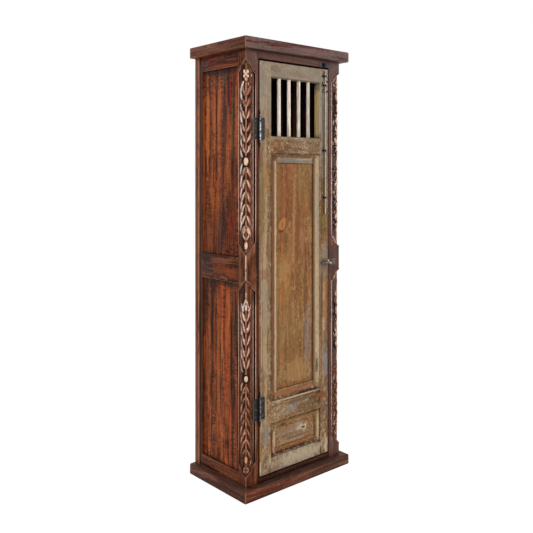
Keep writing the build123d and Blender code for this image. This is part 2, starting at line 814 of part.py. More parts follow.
x_bore = x_plate_start - cut_past
latch_bore = rod_along(
    "x", (x_bore, y_latch, latch_height), 2 * latch_plate_width, latch_bolt_radius + slide_clearance
)
latch_base = solid((x_plate_start, x_plate_end, y_plate, y_front, z_plate_low, z_plate_high))
latch_base += latch_loop(x_plate_start + latch_loop_edge, latch_loop_width)
latch_base += latch_loop(x_plate_end - latch_loop_edge - latch_loop_width, latch_loop_width)
latch_pin_places = [
    (x, y_plate, z)
    for x in (x_plate_start + pin_edge, x_plate_end - pin_edge)
    for z in (z_plate_low + pin_edge, z_plate_high - pin_edge)
]
latch_base = cut(latch_base - latch_bore, pin_holes(latch_pin_places))

x_stem = x_plate_end - latch_loop_edge + latch_stem_radius + slide_clearance
x_bolt_end = x_latch_mouth - latch_lead
y_knob = y_latch - latch_bolt_radius - latch_stem_length
x_bolt_start = x_plate_start - latch_travel
latch_bolt = rod_along(
    "x", (x_bolt_start, y_latch, latch_height), x_bolt_end - x_bolt_start, latch_bolt_radius
)
latch_bolt += rod_along("-y", (x_stem, y_latch, latch_height), y_latch - y_knob, latch_stem_radius)
latch_bolt += Pos(x_stem, y_knob, latch_height) * Sphere(latch_knob_radius)
thumb_tab = Box(
    2 * latch_stem_radius,
    latch_tab_thickness,
    latch_tab_height,
    align=(Align.CENTER, Align.CENTER, Align.MIN),
)
y_tab = y_latch - loop_radius - latch_tab_thickness
latch_bolt += Pos(x_stem, y_tab, latch_height) * Rot(0, latch_tab_lean, 0) * thumb_tab

keeper_x1 = x_latch_mouth + latch_keeper_width
keeper_z0 = latch_height - latch_keeper_height / 2
keeper_z1 = latch_height + latch_keeper_height / 2
latch_keeper = solid((x_latch_mouth, keeper_x1, y_plate, y_front, keeper_z0, keeper_z1))
latch_keeper += latch_loop(x_latch_mouth, latch_keeper_barrel)
x_mouth_cut = x_latch_mouth - cut_past
latch_keeper -= rod_along(
    "x", (x_mouth_cut, y_latch, latch_height), latch_keeper_width, latch_bolt_radius + keeper_clearance
)
x_keeper_pins = x_latch_mouth + latch_keeper_barrel + pin_edge
keeper_side_places = [
    (x_keeper_pins, y_plate, keeper_z0 + pin_edge),
    (keeper_x1 - pin_edge, y_plate, keeper_z1 - pin_edge),
]
latch_keeper = cut(latch_keeper, pin_holes(keeper_side_places))

# ------------------------------------------------------------------ fasteners and the holes they need
case_pin_places = keeper_pin_places + keeper_side_places
door_pin_places = guide_pin_places + latch_pin_places
case_screws = [fastener(p, screw_radius, screw_head_radius, screw_length) for p in frame_screw_places]
case_screws += [fastener(p, pin_radius, pin_head_radius, pin_length) for p in case_pin_places]
door_screws = [fastener(p, screw_radius, screw_head_radius, screw_length) for p in door_screw_places]
door_screws += [fastener(p, pin_radius, pin_head_radius, pin_length) for p in door_pin_places]

case_holes = screw_holes(frame_screw_places) + pin_holes(case_pin_places)
door_holes = screw_holes(door_screw_places) + pin_holes(door_pin_places)
front_rails = {
    name: cut(joined(span, front_tenons[name]), case_holes) for name, span in front_rail_spans.items()
}
back_rails = {name: joined(span, back_tenons[name]) for name, span in back_rail_spans.items()}

# ------------------------------------------------------------------ the nodes
nodes = {
    "plinth_front": [plinth["front"]],
    "plinth_left": [plinth["left"]],
    "plinth_right": [plinth["right"]],
    "plinth_back": [plinth["back"]],
    "floor_boards": floor_planks,
    "cornice_front": [cornice["front"]],
    "cornice_left": [cornice["left"]],
    "cornice_right": [cornice["right"]],
    "cornice_back": [cornice["back"]],
    "top_boards": top_planks,
    "front_post_left": [cut(front_post_left, case_holes)],
    "front_post_right": [cut(front_post_right, case_holes)],
    "back_post_left": [back_post_left],
    "back_post_right": [back_post_right],
    "post_dowels": dowels,
    "header_rail": [front_rails["header"]],
    "threshold_rail": [front_rails["threshold"]],
    "back_top_rail": [back_rails["top"]],
    "back_bottom_rail": [back_rails["bottom"]],
    "back_boards": back_planks,
    "shelf_cleats": cleats,
    "door_stop": [door_stop],
    "header_keeper": [keeper],
    "hinge_pins": list(hinge_pins.values()),
    "latch_keeper": [latch_keeper],
    "case_screws": case_screws,
    "hinge_stile": [cut(hinge_stile, door_holes)],
    "latch_stile": [cut(latch_stile, door_holes)],
    "window_spindles": spindles,
    "tall_panel": [solid(tall_panel)],
    "small_panel": [solid(small_panel)],
    "tall_panel_moulding": tall_moulding,
    "small_panel_moulding": small_moulding,
    "rod_guides": rod_guides,
    "latch_base": [latch_base],
    "door_screws": door_screws,
    "long_bolt": [long_bolt],
    "latch_bolt": [latch_bolt],
}
for name, rail in side_rails.items():
    nodes[f"left_{name}_rail"] = [rail]
    nodes[f"right_{name}_rail"] = [mirrored(rail)]
for name, field, widths in (
    ("upper", upper_field, upper_board_widths),
    ("lower", lower_field, lower_board_widths),
):
    boards = side_boards(field, widths)
    nodes[f"left_{name}_boards"] = boards
    nodes[f"right_{name}_boards"] = [mirrored(board) for board in boards]
for name, shelf in zip(("lower", "middle", "upper"), shelves):
    nodes[f"shelf_{name}"] = [shelf]
for name, rail in door_rails.items():
    nodes[f"door_{name}_rail"] = [rail]
for name in hinge_middles:
    nodes[f"{name}_hinge_frame_leaf"] = [frame_leaves[name]]
    nodes[f"{name}_hinge_door_leaf"] = [door_leaves[name]]

os.makedirs("parts", exist_ok=True)
for name, pieces in nodes.items():
    solids = [one for piece in pieces for one in piece.solids()]
    export_step(Compound(children=solids) if len(solids) > 1 else solids[0], f"parts/{name}.step")
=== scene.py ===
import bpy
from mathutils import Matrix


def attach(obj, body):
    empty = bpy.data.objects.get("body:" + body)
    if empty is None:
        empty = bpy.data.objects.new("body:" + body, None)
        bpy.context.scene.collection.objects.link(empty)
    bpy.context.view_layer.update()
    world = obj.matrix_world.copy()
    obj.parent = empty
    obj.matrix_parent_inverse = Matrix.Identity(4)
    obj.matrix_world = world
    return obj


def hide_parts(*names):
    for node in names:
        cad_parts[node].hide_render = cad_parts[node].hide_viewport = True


bl_info = {
    "name": "Trastero Cabinet",
    "version": (1, 0, 0),
    "blender": (4, 5, 0),
    "location": "3D View > Sidebar > Trastero",
    "description": "Dresses the framed cabinet: aged wood, worn paint, iron, carved garlands and the stage",
    "category": "Object",
}

import random
from math import atan2, cos, pi, radians, sin, sqrt

import bmesh
import bpy
from bpy.props import FloatProperty, FloatVectorProperty, IntProperty, PointerProperty
from mathutils import Vector

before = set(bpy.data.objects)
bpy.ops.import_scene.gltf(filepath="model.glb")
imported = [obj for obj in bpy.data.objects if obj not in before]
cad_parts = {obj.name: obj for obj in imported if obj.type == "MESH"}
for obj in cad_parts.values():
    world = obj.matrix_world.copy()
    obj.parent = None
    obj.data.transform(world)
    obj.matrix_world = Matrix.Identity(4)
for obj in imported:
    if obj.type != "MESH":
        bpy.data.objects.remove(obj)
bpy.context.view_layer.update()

MM = 0.001
MARK_DEPTH = 0.03  # how far a mark reaches into the door
BOARD_GAP = 0.0012  # between neighbouring boards of the back
SAME_POINT = 0.00002  # points of a node's mesh that are nearer than this become one
FLAT = radians(0.8)  # faces that meet at less than this become one
EDGE = radians(40)  # and an edge is rounded where they meet at more than this
CASE = "case"
DOOR = "door"


# ---------------------------------------------------------------- property helpers
def length(name, description, default):
    return FloatProperty(name=name, description=description, default=default, unit="LENGTH", min=0.0)


def number(name, description, default, unit="NONE"):
    return FloatProperty(name=name, description=description, default=default, unit=unit)


def angle(name, description, degrees):
    return FloatProperty(name=name, description=description, default=radians(degrees), subtype="ANGLE")


def share(name, description, default):
    return FloatProperty(
        name=name, description=description, default=default, subtype="FACTOR", min=0.0, max=1.0
    )


def tint(name, description, *rgb):
    """A colour property, given in the 0 to 255 numbers of a paint chart."""
    default = [channel / 255 for channel in rgb]
    return FloatVectorProperty(
        name=name, description=description, default=default, subtype="COLOR_GAMMA", size=3, min=0.0, max=1.0
    )


def linear(rgb, shade=1.0):
    """A chart colour as the four numbers a shader socket takes."""
    channels = [c / 12.92 if c <= 0.04045 else ((c + 0.055) / 1.055) ** 2.4 for c in rgb]
    return tuple(channel * shade for channel in channels) + (1.0,)


# ---------------------------------------------------------------- properties
class TRASTERO_PG_garland(bpy.types.PropertyGroup):
    leaf_length: length("Leaf Length", "Length of one inner leaf", 0.050)
    leaf_width: length("Leaf Width", "Widest part of one inner leaf", 0.0128)
    lean: angle("Lean", "Turn of an inner leaf away from upright", 19)
    flank_length: length("Flank Length", "Length of one flanking leaf", 0.040)
    flank_width: length("Flank Width", "Widest part of one flanking leaf", 0.0122)
    flank_lean: angle("Flank Lean", "Turn of a flanking leaf away from upright", 24)
    ridge_height: length("Ridge Height", "How far an inner leaf stands above the round", 0.0070)
    flank_height: length("Flank Height", "How far a flanking leaf stands above the round", 0.0052)
    stem_height: length("Stem Height", "How far the stem stands above the round", 0.0060)
    hand_turn: angle("Hand Turn", "Largest random turn of a leaf", 5)
    hand_size: share("Hand Size", "Largest random change in a leaf's size", 0.12)
    bead_half_width: length("Bead Half Width", "Half the width of the bead round a carved field", 0.0026)
    bead_height: length("Bead Height", "How far that bead stands above the post", 0.0022)
    seed: IntProperty(name="Seed", description="Start of the random hand work", default=11)


class TRASTERO_PG_wood(bpy.types.PropertyGroup):
    deep: tint("Deep", "Dark streaks and stain", 44, 18, 8)
    side: tint("Side", "Boards of the side panels", 145, 67, 26)
    side_warm: tint("Side Warm", "Lightest streaks of the side boards", 188, 99, 44)
    rail: tint("Rail", "Rails and posts of the case", 104, 52, 29)
    rail_warm: tint("Rail Warm", "Lightest streaks of rails and posts", 146, 84, 50)
    slab: tint("Slab", "Plinth and cornice boards", 102, 56, 36)
    slab_warm: tint("Slab Warm", "Lightest streaks of plinth and cornice", 144, 88, 60)
    slab_deep: tint("Slab Deep", "Dark streaks of plinth and cornice", 66, 34, 22)
    inner: tint("Inner", "Stained boards inside and behind", 58, 38, 28)
    inner_warm: tint("Inner Warm", "Lightest streaks of the inner boards", 84, 58, 42)
    red: tint("Red", "Red stain left in the grain", 150, 40, 24)
    moss: tint("Moss", "Grey green weathering in the grain", 84, 82, 52)
    # Soot is also laid as painted shadow under the top rail of each side.
    soot: tint("Soot", "Nearly black dirt", 36, 17, 10)
    worn: tint("Worn", "Rubbed edges of the stained wood", 200, 142, 108)
    carved: tint("Carved", "Body of the carved leaves", 192, 130, 102)
    # Painted light: the pale colour of the flanking leaves that face the light.
    carved_lit: tint("Carved Grey", "Weathered leaves that flank the garland", 250, 238, 230)
    carved_low: tint("Carved Low", "Stain over the foot of the lower garland", 138, 86, 60)
    # Ridge and Ridge Low: the pale tops of the carving, partly wear and partly a painted highlight.
    ridge: tint("Ridge", "Rubbed ridges of the carved leaves", 252, 216, 192)
    ridge_low: tint("Ridge Low", "Those ridges at the foot of the lower garland", 224, 150, 108)
    # The dark of the carving's hollows: stain, and painted shade in its slits, creases and beside the door.
    hollow_stain_and_shade: tint("Recess", "Stain in the hollows of the carving", 34, 16, 10)
    # Painted sheen: a dull greyish colour laid where faces catch the light, in place of their sheen.
    painted_sheen: tint("Painted Sheen", "Dull greyish bloom on wood that faces the light", 104, 82, 78)
    edge_round: length("Edge Round", "Rounding of the case's wooden edges", 0.0016)


class TRASTERO_PG_paint(bpy.types.PropertyGroup):
    stile: tint("Stile", "Worn paint of the door's frame", 134, 101, 68)
    pale: tint("Pale", "Pale grey remains of the last coat", 160, 148, 132)
    # Cream is also laid as a painted highlight on the lock rail's edge, beside the long bolt and on the
    # moulding slopes.
    cream: tint("Cream", "Rubbed edges and pale flecks", 228, 200, 164)
    panel: tint("Panel", "Paint of the door's panels", 152, 101, 60)
    moulding: tint("Moulding", "Paint of the panel mouldings", 146, 106, 66)
    olive: tint("Olive", "Old olive coat that shows through", 128, 106, 56)
    gold: tint("Gold", "Bare golden wood under the paint", 178, 122, 62)
    rust: tint("Rust", "Rust red first coat", 138, 72, 40)
    slate: tint("Slate", "Blue grey coat", 138, 140, 138)
    # Umber is also laid as painted shade on the moulding slopes.
    umber: tint("Umber", "Brown wood where the paint is gone", 108, 72, 46)
    fleck: tint("Fleck", "Light flecks on the panels", 198, 160, 108)
    # Dark is also laid as painted shadow in the door's gaps, as painted shade in the creases round the
    # mouldings, on a moulding slope and beside the long bolt, and in corners and hollows.
    dark: tint("Dark", "Dirt in cracks and corners", 46, 30, 20)
    reveal: tint("Reveal", "Golden olive edge of the window", 226, 194, 134)
    spindle: tint("Spindle", "Bleached wood of the window bars", 248, 235, 222)
    spindle_shade: tint("Spindle Shade", "Streaks of the window bars", 204, 184, 158)
    edge_round: length("Edge Round", "Rounding of the door's wooden edges", 0.0018)


class TRASTERO_PG_iron(bpy.types.PropertyGroup):
    body: tint("Body", "Blackened iron", 20, 19, 22)
    # Bright is also laid as a painted highlight along the hinge knuckles.
    bright: tint("Bright", "Iron rubbed bright", 232, 228, 226)
    rust: tint("Rust", "Rust on the iron", 58, 40, 36)
    bolt: tint("Bolt", "Worn steel of the bolts", 204, 188, 166)
    # Bolt Dark is also laid as painted shade down the sides of the long bolt.
    bolt_dark: tint("Bolt Dark", "Rusted steel of the bolts", 104, 84, 66)


class TRASTERO_PG_stage(bpy.types.PropertyGroup):
    camera_place: FloatVectorProperty(
        name="Camera Place", description="Where the camera stands", default=(-2.1205, -2.4103, 1.3549),
        subtype="TRANSLATION", unit="LENGTH", size=3,
    )
    camera_heading: angle("Camera Heading", "Turn of the level camera", -41)
    lens: number("Lens", "Focal length in millimetres", 46.96)
    shift: number("Shift", "Upward shift of the frame, negative for downward", -0.172)
    key_power: number("Key Power", "Power of the lamp at the front left", 62.0, "POWER")
    fill_power: number("Fill Power", "Power of the lamp at the front right", 60.0, "POWER")
    back_power: number("Back Power", "Power of the lamp behind", 26.0, "POWER")
    ambient: number("Ambient", "Strength of the even light from all round", 0.42)
    floor: tint("Floor", "Colour of the floor", 250, 250, 250)
    floor_lift: number("Floor Lift", "White added to the floor that is seen", 0.60)


# ---------------------------------------------------------------- node trees
class Nodes:
    """Fills one node tree. A value may be a socket, which is linked, or a number, vector or colour."""

    def __init__(self, tree):
        self.tree = tree

    def put(self, socket, value):
        if isinstance(value, bpy.types.NodeSocket):
            self.tree.links.new(value, socket)
        elif value is not None:
            socket.default_value = value

    def make(self, kind, **settings):
        node = self.tree.nodes.new("ShaderNode" + kind)
        for name, value in settings.items():
            setattr(node, name, value)
        return node

    def fill(self, node, **values):
        """Gives a node's inputs their values, by their labels in small letters."""
        for label, value in values.items():
            self.put(node.inputs[label.replace("_", " ").title()], value)
        return node

    def math(self, operation, first, *others):
        """One sum over any number of values: on the first two, then on that and the third, and so on."""
        for other in others or (None,):
            node = self.make("Math", operation=operation)
            self.put(node.inputs[0], first)
            self.put(node.inputs[1], other)
            first = node.outputs[0]
        return first

    def times(self, *values):
        return self.math("MULTIPLY", *values)

    def plus(self, *values):
        return self.math("ADD", *values)

    def minus(self, *values):
        return self.math("SUBTRACT", *values)

    def most(self, *values):
        return self.math("MAXIMUM", *values)

    def least(self, *values):
        return self.math("MINIMUM", *values)

    def apart(self, a, b):
        """How far two values are from each other."""
        return self.math("ABSOLUTE", self.minus(a, b))

    def vector(self, operation, a, b=None, scale=None):
        node = self.make("VectorMath", operation=operation)
        self.put(node.inputs[0], a)
        self.put(node.inputs[1], b)
        if scale is not None:
            self.put(node.inputs["Scale"], scale)
        return node.outputs["Value" if operation in ("LENGTH", "DOT_PRODUCT") else "Vector"]

    def drawn_out(self, place, share):
        """A place squeezed along Z, so that what is drawn there is stretched along the grain."""
        return self.vector("MULTIPLY", place, (1.0, 1.0, share))

    def noise(self, place, scale, detail=4.0, roughness=0.55, distortion=0.0, colour=False):
        node = self.fill(
            self.make("TexNoise"),
            vector=place, scale=scale, detail=detail, roughness=roughness, distortion=distortion,
        )
        return node.outputs["Color" if colour else "Fac"]

    def cells(self, place, scale, feature="F1"):
        return self.fill(self.make("TexVoronoi", feature=feature), vector=place, scale=scale)

    def flecks(self, place, offset, scale, roughness, twist, start):
        """Small crisp flecks of a noise moved aside by an offset, from where it reaches start."""
        cloud = self.noise(self.vector("ADD", place, offset), scale, 6.0, roughness, twist)
        return self.remap(cloud, start, start + 0.07)

    def remap(self, value, low, high, new_low=0.0, new_high=1.0):
        node = self.make("MapRange", interpolation_type="SMOOTHSTEP")
        self.fill(node, value=value, from_min=low, from_max=high, to_min=new_low, to_max=new_high)
        return node.outputs["Result"]

    def mix(self, factor, a, b, blend="MIX"):
        node = self.make("Mix", data_type="RGBA", blend_type=blend)
        self.put(node.inputs[0], factor)
        self.put(node.inputs[6], a)
        self.put(node.inputs[7], b)
        return node.outputs[2]

    def toned(self, colour, tone):
        """A colour made lighter or darker by a number."""
        return self.mix(1.0, colour, self.join(tone, tone, tone), "MULTIPLY")

    def lay(self, colour, tone, mask, strength=None, dim=1.0):
        """Lays a chart colour, dimmed to a share, over a colour where the mask says, at that strength."""
        factor = mask if strength is None else self.times(mask, strength)
        return self.mix(factor, colour, linear(tone, dim))

    def blend(self, factor, a, b):
        node = self.make("Mix", data_type="FLOAT")
        for socket, value in zip(node.inputs[:1] + node.inputs[2:4], (factor, a, b)):
            self.put(socket, value)
        return node.outputs[0]

    def split(self, place):
        node = self.make("SeparateXYZ")
        self.put(node.inputs[0], place)
        return node.outputs

    def join(self, x, y, z):
        node = self.make("CombineXYZ")
        for socket, value in zip(node.inputs, (x, y, z)):
            self.put(socket, value)
        return node.outputs[0]

    def attribute(self, name):
        return self.make("Attribute", attribute_type="GEOMETRY", attribute_name=name).outputs["Fac"]

    def effect(self, name, **values):
        """One use of a shared node group, with its own values: the group's outputs."""
        return self.fill(self.make("Group", node_tree=bpy.data.node_groups[name]), **values).outputs


WHITE = (1.0, 1.0, 1.0, 1.0)
BLACK = (0.0, 0.0, 0.0, 1.0)
PLACE = (0.0, 0.0, 0.0)


def new_effect(name, inputs, *outputs):
    """An empty shader node group: (its nodes, its inputs, its outputs).

    inputs gives each one's start value, from which its kind follows. The output Colour is a colour, and
    the others are numbers.
    """
    tree = bpy.data.node_groups.new(name, "ShaderNodeTree")
    for label, start in inputs.items():
        size = 1 if isinstance(start, float) else len(start)
        kind = {1: "NodeSocketFloat", 3: "NodeSocketVector", 4: "NodeSocketColor"}[size]
        tree.interface.new_socket(name=label, in_out="INPUT", socket_type=kind).default_value = start
    for label in outputs:
        kind = "NodeSocketColor" if label == "Colour" else "NodeSocketFloat"
        tree.interface.new_socket(name=label, in_out="OUTPUT", socket_type=kind)
    entry = tree.nodes.new("NodeGroupInput")
    leave = tree.nodes.new("NodeGroupOutput")
    return Nodes(tree), entry.outputs, leave.inputs


def wood_grain_effect():
    """Streaks, fibres and knots along Z, moved on by a number for each board."""
    n, given, out = new_effect(
        "wood_grain", {"Place": PLACE, "Board": 0.0, "Scale": 1.0}, "Streaks", "Bands", "Fibres", "Knots"
    )
    offset = n.vector("SCALE", (7.31, 3.17, 2.43), scale=n.times(given["Board"], 3.0))
    place = n.vector("SCALE", n.vector("ADD", given["Place"], offset), scale=given["Scale"])
    knot_cells = n.cells(n.drawn_out(place, 0.42), 7.5)
    chosen = n.remap(n.split(knot_cells.outputs["Color"])[0], 0.70, 0.72)
    knots = n.times(chosen, n.remap(knot_cells.outputs["Distance"], 0.10, 0.055))
    swirl = n.times(chosen, n.remap(knot_cells.outputs["Distance"], 0.34, 0.05, 0.0, 0.024))
    wander = n.noise(n.drawn_out(place, 0.5), 6.0, 2.0, colour=True)
    wander = n.vector("MULTIPLY", n.vector("SUBTRACT", wander, (0.5, 0.5, 0.5)), (0.026, 0.026, 0.0))
    bent = n.vector("ADD", n.vector("ADD", place, wander), n.join(swirl, swirl, 0.0))
    n.put(out["Streaks"], n.noise(n.drawn_out(bent, 0.055), 62.0, 5.0, 0.62, 0.5))
    n.put(out["Bands"], n.noise(n.drawn_out(bent, 0.11), 23.0, 3.0, 0.5, 0.8))
    n.put(out["Fibres"], n.noise(n.drawn_out(bent, 0.03), 480.0, 3.0, 0.7))
    n.put(out["Knots"], knots)


def saw_marks_effect():
    """Bands across the grain, broken into short dashes, strong in some stretches and gone in others."""
    n, given, out = new_effect("saw_marks", {"Place": PLACE, "Board": 0.0}, "Marks")
    place = n.vector("ADD", given["Place"], n.vector("SCALE", (0.7, 0.3, 1.9), scale=given["Board"]))
    across = n.noise(n.vector("MULTIPLY", place, (0.30, 0.30, 1.0)), 125.0, 3.0, 0.6)
    coarse = n.noise(n.vector("MULTIPLY", place, (0.35, 0.35, 1.0)), 52.0, 2.0, 0.5)
    columns = n.remap(n.noise(n.drawn_out(place, 0.06), 40.0, 3.0, 0.6), 0.40, 0.56)
    where = n.remap(n.noise(place, 4.0, 2.0), 0.32, 0.52)
    lines = n.plus(n.remap(across, 0.48, 0.60), n.remap(coarse, 0.52, 0.66, 0.0, 0.7))
    marks = n.times(n.least(lines, 1.0), columns)
    n.put(out["Marks"], n.times(marks, where))


def worn_edges_effect():
    """Where edges are rubbed: a mask from how far a rounded normal leaves the true one, broken up."""
    n, given, out = new_effect("worn_edges", {"Place": PLACE, "Reach": 0.004, "Break Up": 0.5}, "Edge")
    rounded = n.make("Bevel", samples=6)
    n.put(rounded.inputs["Radius"], given["Reach"])
    true_normal = n.make("NewGeometry").outputs["True Normal"]
    leave = n.minus(1.0, n.vector("DOT_PRODUCT", rounded.outputs["Normal"], true_normal))
    open_air = n.make("AmbientOcclusion", samples=6, only_local=True)
    open_air.inputs["Distance"].default_value = 0.010
    outward = n.remap(open_air.outputs["AO"], 0.70, 0.97)
    rub = n.times(n.minus(n.noise(given["Place"], 26.0, 4.0, 0.65), 0.5), given["Break Up"], 2.2)
    strength = n.plus(n.remap(leave, 0.015, 0.16), rub)
    n.put(out["Edge"], n.times(n.remap(strength, 0.35, 0.80), outward))


def dirt_and_shade_effect():
    """Dirt, and painted shade, where the surroundings close in on a surface, in corners and hollows."""
    n, given, out = new_effect("hollow_dirt_and_shade", {"Place": PLACE, "Reach": 0.02}, "Dirt")
    open_air = n.make("AmbientOcclusion", samples=8)
    n.put(open_air.inputs["Distance"], given["Reach"])
    shut = n.minus(1.0, open_air.outputs["AO"])
    uneven = n.remap(n.noise(given["Place"], 40.0, 4.0, 0.6), 0.3, 0.7, 0.55, 1.25)
    n.put(out["Dirt"], n.remap(n.times(shut, uneven), 0.10, 0.62))


def patch_effect():
    """One ragged oval patch at a place on the piece, broken into flecks towards its rim."""
    n, given, out = new_effect(
        "ragged_patch", {"Place": PLACE, "Centre": PLACE, "Half Size": PLACE, "Rag": 0.6}, "Patch"
    )
    offset = n.vector("SUBTRACT", given["Place"], given["Centre"])
    away = n.vector("LENGTH", n.vector("DIVIDE", offset, given["Half Size"]))
    rag = n.noise(n.drawn_out(given["Place"], 0.6), 60.0, 6.0, 0.72)
    rag = n.times(n.minus(rag, 0.5), given["Rag"], 4.0)
    n.put(out["Patch"], n.remap(n.plus(away, rag), 1.15, 0.75))


def frame_line_effect():
    """A ragged dark line that runs round a rectangle at a distance inside it."""
    n, given, out = new_effect(
        "joint_shade_line",
        {"Place": PLACE, "Low": PLACE, "High": PLACE, "Inset": 0.0, "Width": 0.002, "Rag": 0.5},
        "Line",
    )
    wobble = n.vector("SUBTRACT", n.noise(given["Place"], 70.0, 5.0, 0.7, colour=True), (0.5, 0.5, 0.5))
    moved = n.vector("ADD", given["Place"], n.vector("SCALE", wobble, scale=n.times(given["Rag"], 0.010)))
    up = n.split(n.vector("SUBTRACT", moved, given["Low"]))
    down = n.split(n.vector("SUBTRACT", given["High"], moved))
    inside = n.least(up[0], down[0], up[2], down[2])
    rag = n.minus(n.noise(given["Place"], 38.0, 4.0, 0.65), 0.5)
    rag = n.plus(1.0, n.times(rag, given["Rag"], 6.0))
    off = n.apart(inside, given["Inset"])
    off = n.minus(off, n.times(given["Width"], rag))
    n.put(out["Line"], n.remap(off, 0.0008, -0.0004))


def chips_effect():
    """Paint gone in crisp flakes, more of it near the worn edges: bare places and their rim."""
    n, given, out = new_effect("paint_chips", {"Place": PLACE, "Amount": 0.4, "Edge": 0.0}, "Bare", "Rim")
    place = n.drawn_out(given["Place"], 0.55)
    broad = n.noise(place, 9.0, 3.0, 0.5)
    fine = n.noise(place, 75.0, 6.0, 0.68, 0.3)
    level = n.plus(
        n.times(broad, 0.55), n.times(fine, 0.75),
        n.times(given["Edge"], 0.30), n.times(given["Amount"], 0.35),
    )
    n.put(out["Bare"], n.remap(level, 0.845, 0.875))
    n.put(out["Rim"], n.times(n.remap(level, 0.80, 0.845), n.remap(level, 0.90, 0.86)))


def pits_effect():
    """Small round holes of worm and old nails, thinly scattered."""
    n, given, out = new_effect("worm_pits", {"Place": PLACE, "Scale": 60.0, "Share": 0.2}, "Pits")
    cell = n.cells(given["Place"], given["Scale"])
    chosen = n.math("LESS_THAN", n.split(cell.outputs["Color"])[1], given["Share"])
    n.put(out["Pits"], n.times(chosen, n.remap(cell.outputs["Distance"], 0.17, 0.10)))


def aged_wood_effect():
    """Stained old timber with its grain along Z: colour, roughness and height."""
    n, given, out = new_effect(
        "aged_wood",
        {
            "Place": PLACE, "Board": 0.0, "Scale": 1.0,
            "Deep": WHITE, "Body": WHITE, "Warm": WHITE, "Red": WHITE, "Moss": WHITE, "Worn": WHITE,
            "Red Share": 0.3, "Moss Share": 0.2, "Saw Share": 0.5,
            "Wear": 0.6, "Edge Reach": 0.004, "Dirt Reach": 0.02,
        },
        "Colour", "Roughness", "Height",
    )
    place, board = given["Place"], given["Board"]
    grain = n.effect("wood_grain", place=place, board=board, scale=given["Scale"])
    colour = n.mix(n.remap(grain["Streaks"], 0.38, 0.54), given["Deep"], given["Body"])
    light = n.times(n.remap(grain["Bands"], 0.47, 0.66), n.remap(grain["Streaks"], 0.42, 0.60))
    colour = n.mix(light, colour, given["Warm"])
    red = n.noise(n.drawn_out(place, 0.12), 19.0, 3.0, 0.6, 0.4)
    red = n.times(n.remap(red, 0.54, 0.66), given["Red Share"])
    colour = n.mix(red, colour, given["Red"])
    moss_place = n.vector("ADD", n.drawn_out(place, 0.09), (3.3, 1.7, 0.4))
    moss = n.times(n.remap(n.noise(moss_place, 24.0, 3.0, 0.6, 0.4), 0.56, 0.68), given["Moss Share"])
    colour = n.mix(moss, colour, given["Moss"])
    fibre = n.remap(grain["Fibres"], 0.28, 0.72, 0.66, 1.34)
    tone = n.times(fibre, n.remap(board, 0.0, 1.0, 0.82, 1.20))
    blotch = n.noise(n.drawn_out(place, 0.5), 11.0, 3.0, 0.6)
    tone = n.times(tone, n.remap(blotch, 0.3, 0.7, 0.80, 1.18))
    colour = n.toned(colour, tone)
    marks = n.times(n.effect("saw_marks", place=place, board=board)["Marks"], given["Saw Share"])
    colour = n.mix(n.times(marks, 0.88), colour, given["Deep"])
    colour = n.mix(n.times(grain["Knots"], 0.85), colour, n.mix(0.4, given["Deep"], BLACK))
    # Dirt and painted shade in corners and hollows.
    dirt_and_shade = n.effect("hollow_dirt_and_shade", place=place, reach=given["Dirt Reach"])["Dirt"]
    colour = n.mix(n.times(dirt_and_shade, 0.80), colour, n.mix(0.55, given["Deep"], BLACK))
    edge = n.effect("worn_edges", place=place, reach=given["Edge Reach"], break_up=0.55)["Edge"]
    edge = n.times(edge, given["Wear"])
    colour = n.mix(edge, colour, given["Worn"])
    n.put(out["Colour"], colour)
    rough = n.remap(grain["Streaks"], 0.3, 0.7, 0.56, 0.40)
    rough = n.plus(rough, n.times(n.plus(dirt_and_shade, marks), 0.16))
    n.put(out["Roughness"], rough)
    height = n.times(n.plus(grain["Fibres"], grain["Streaks"]), 0.5)
    height = n.minus(height, n.times(marks, 0.5))
    n.put(out["Height"], n.minus(height, n.times(grain["Knots"], 0.6)))


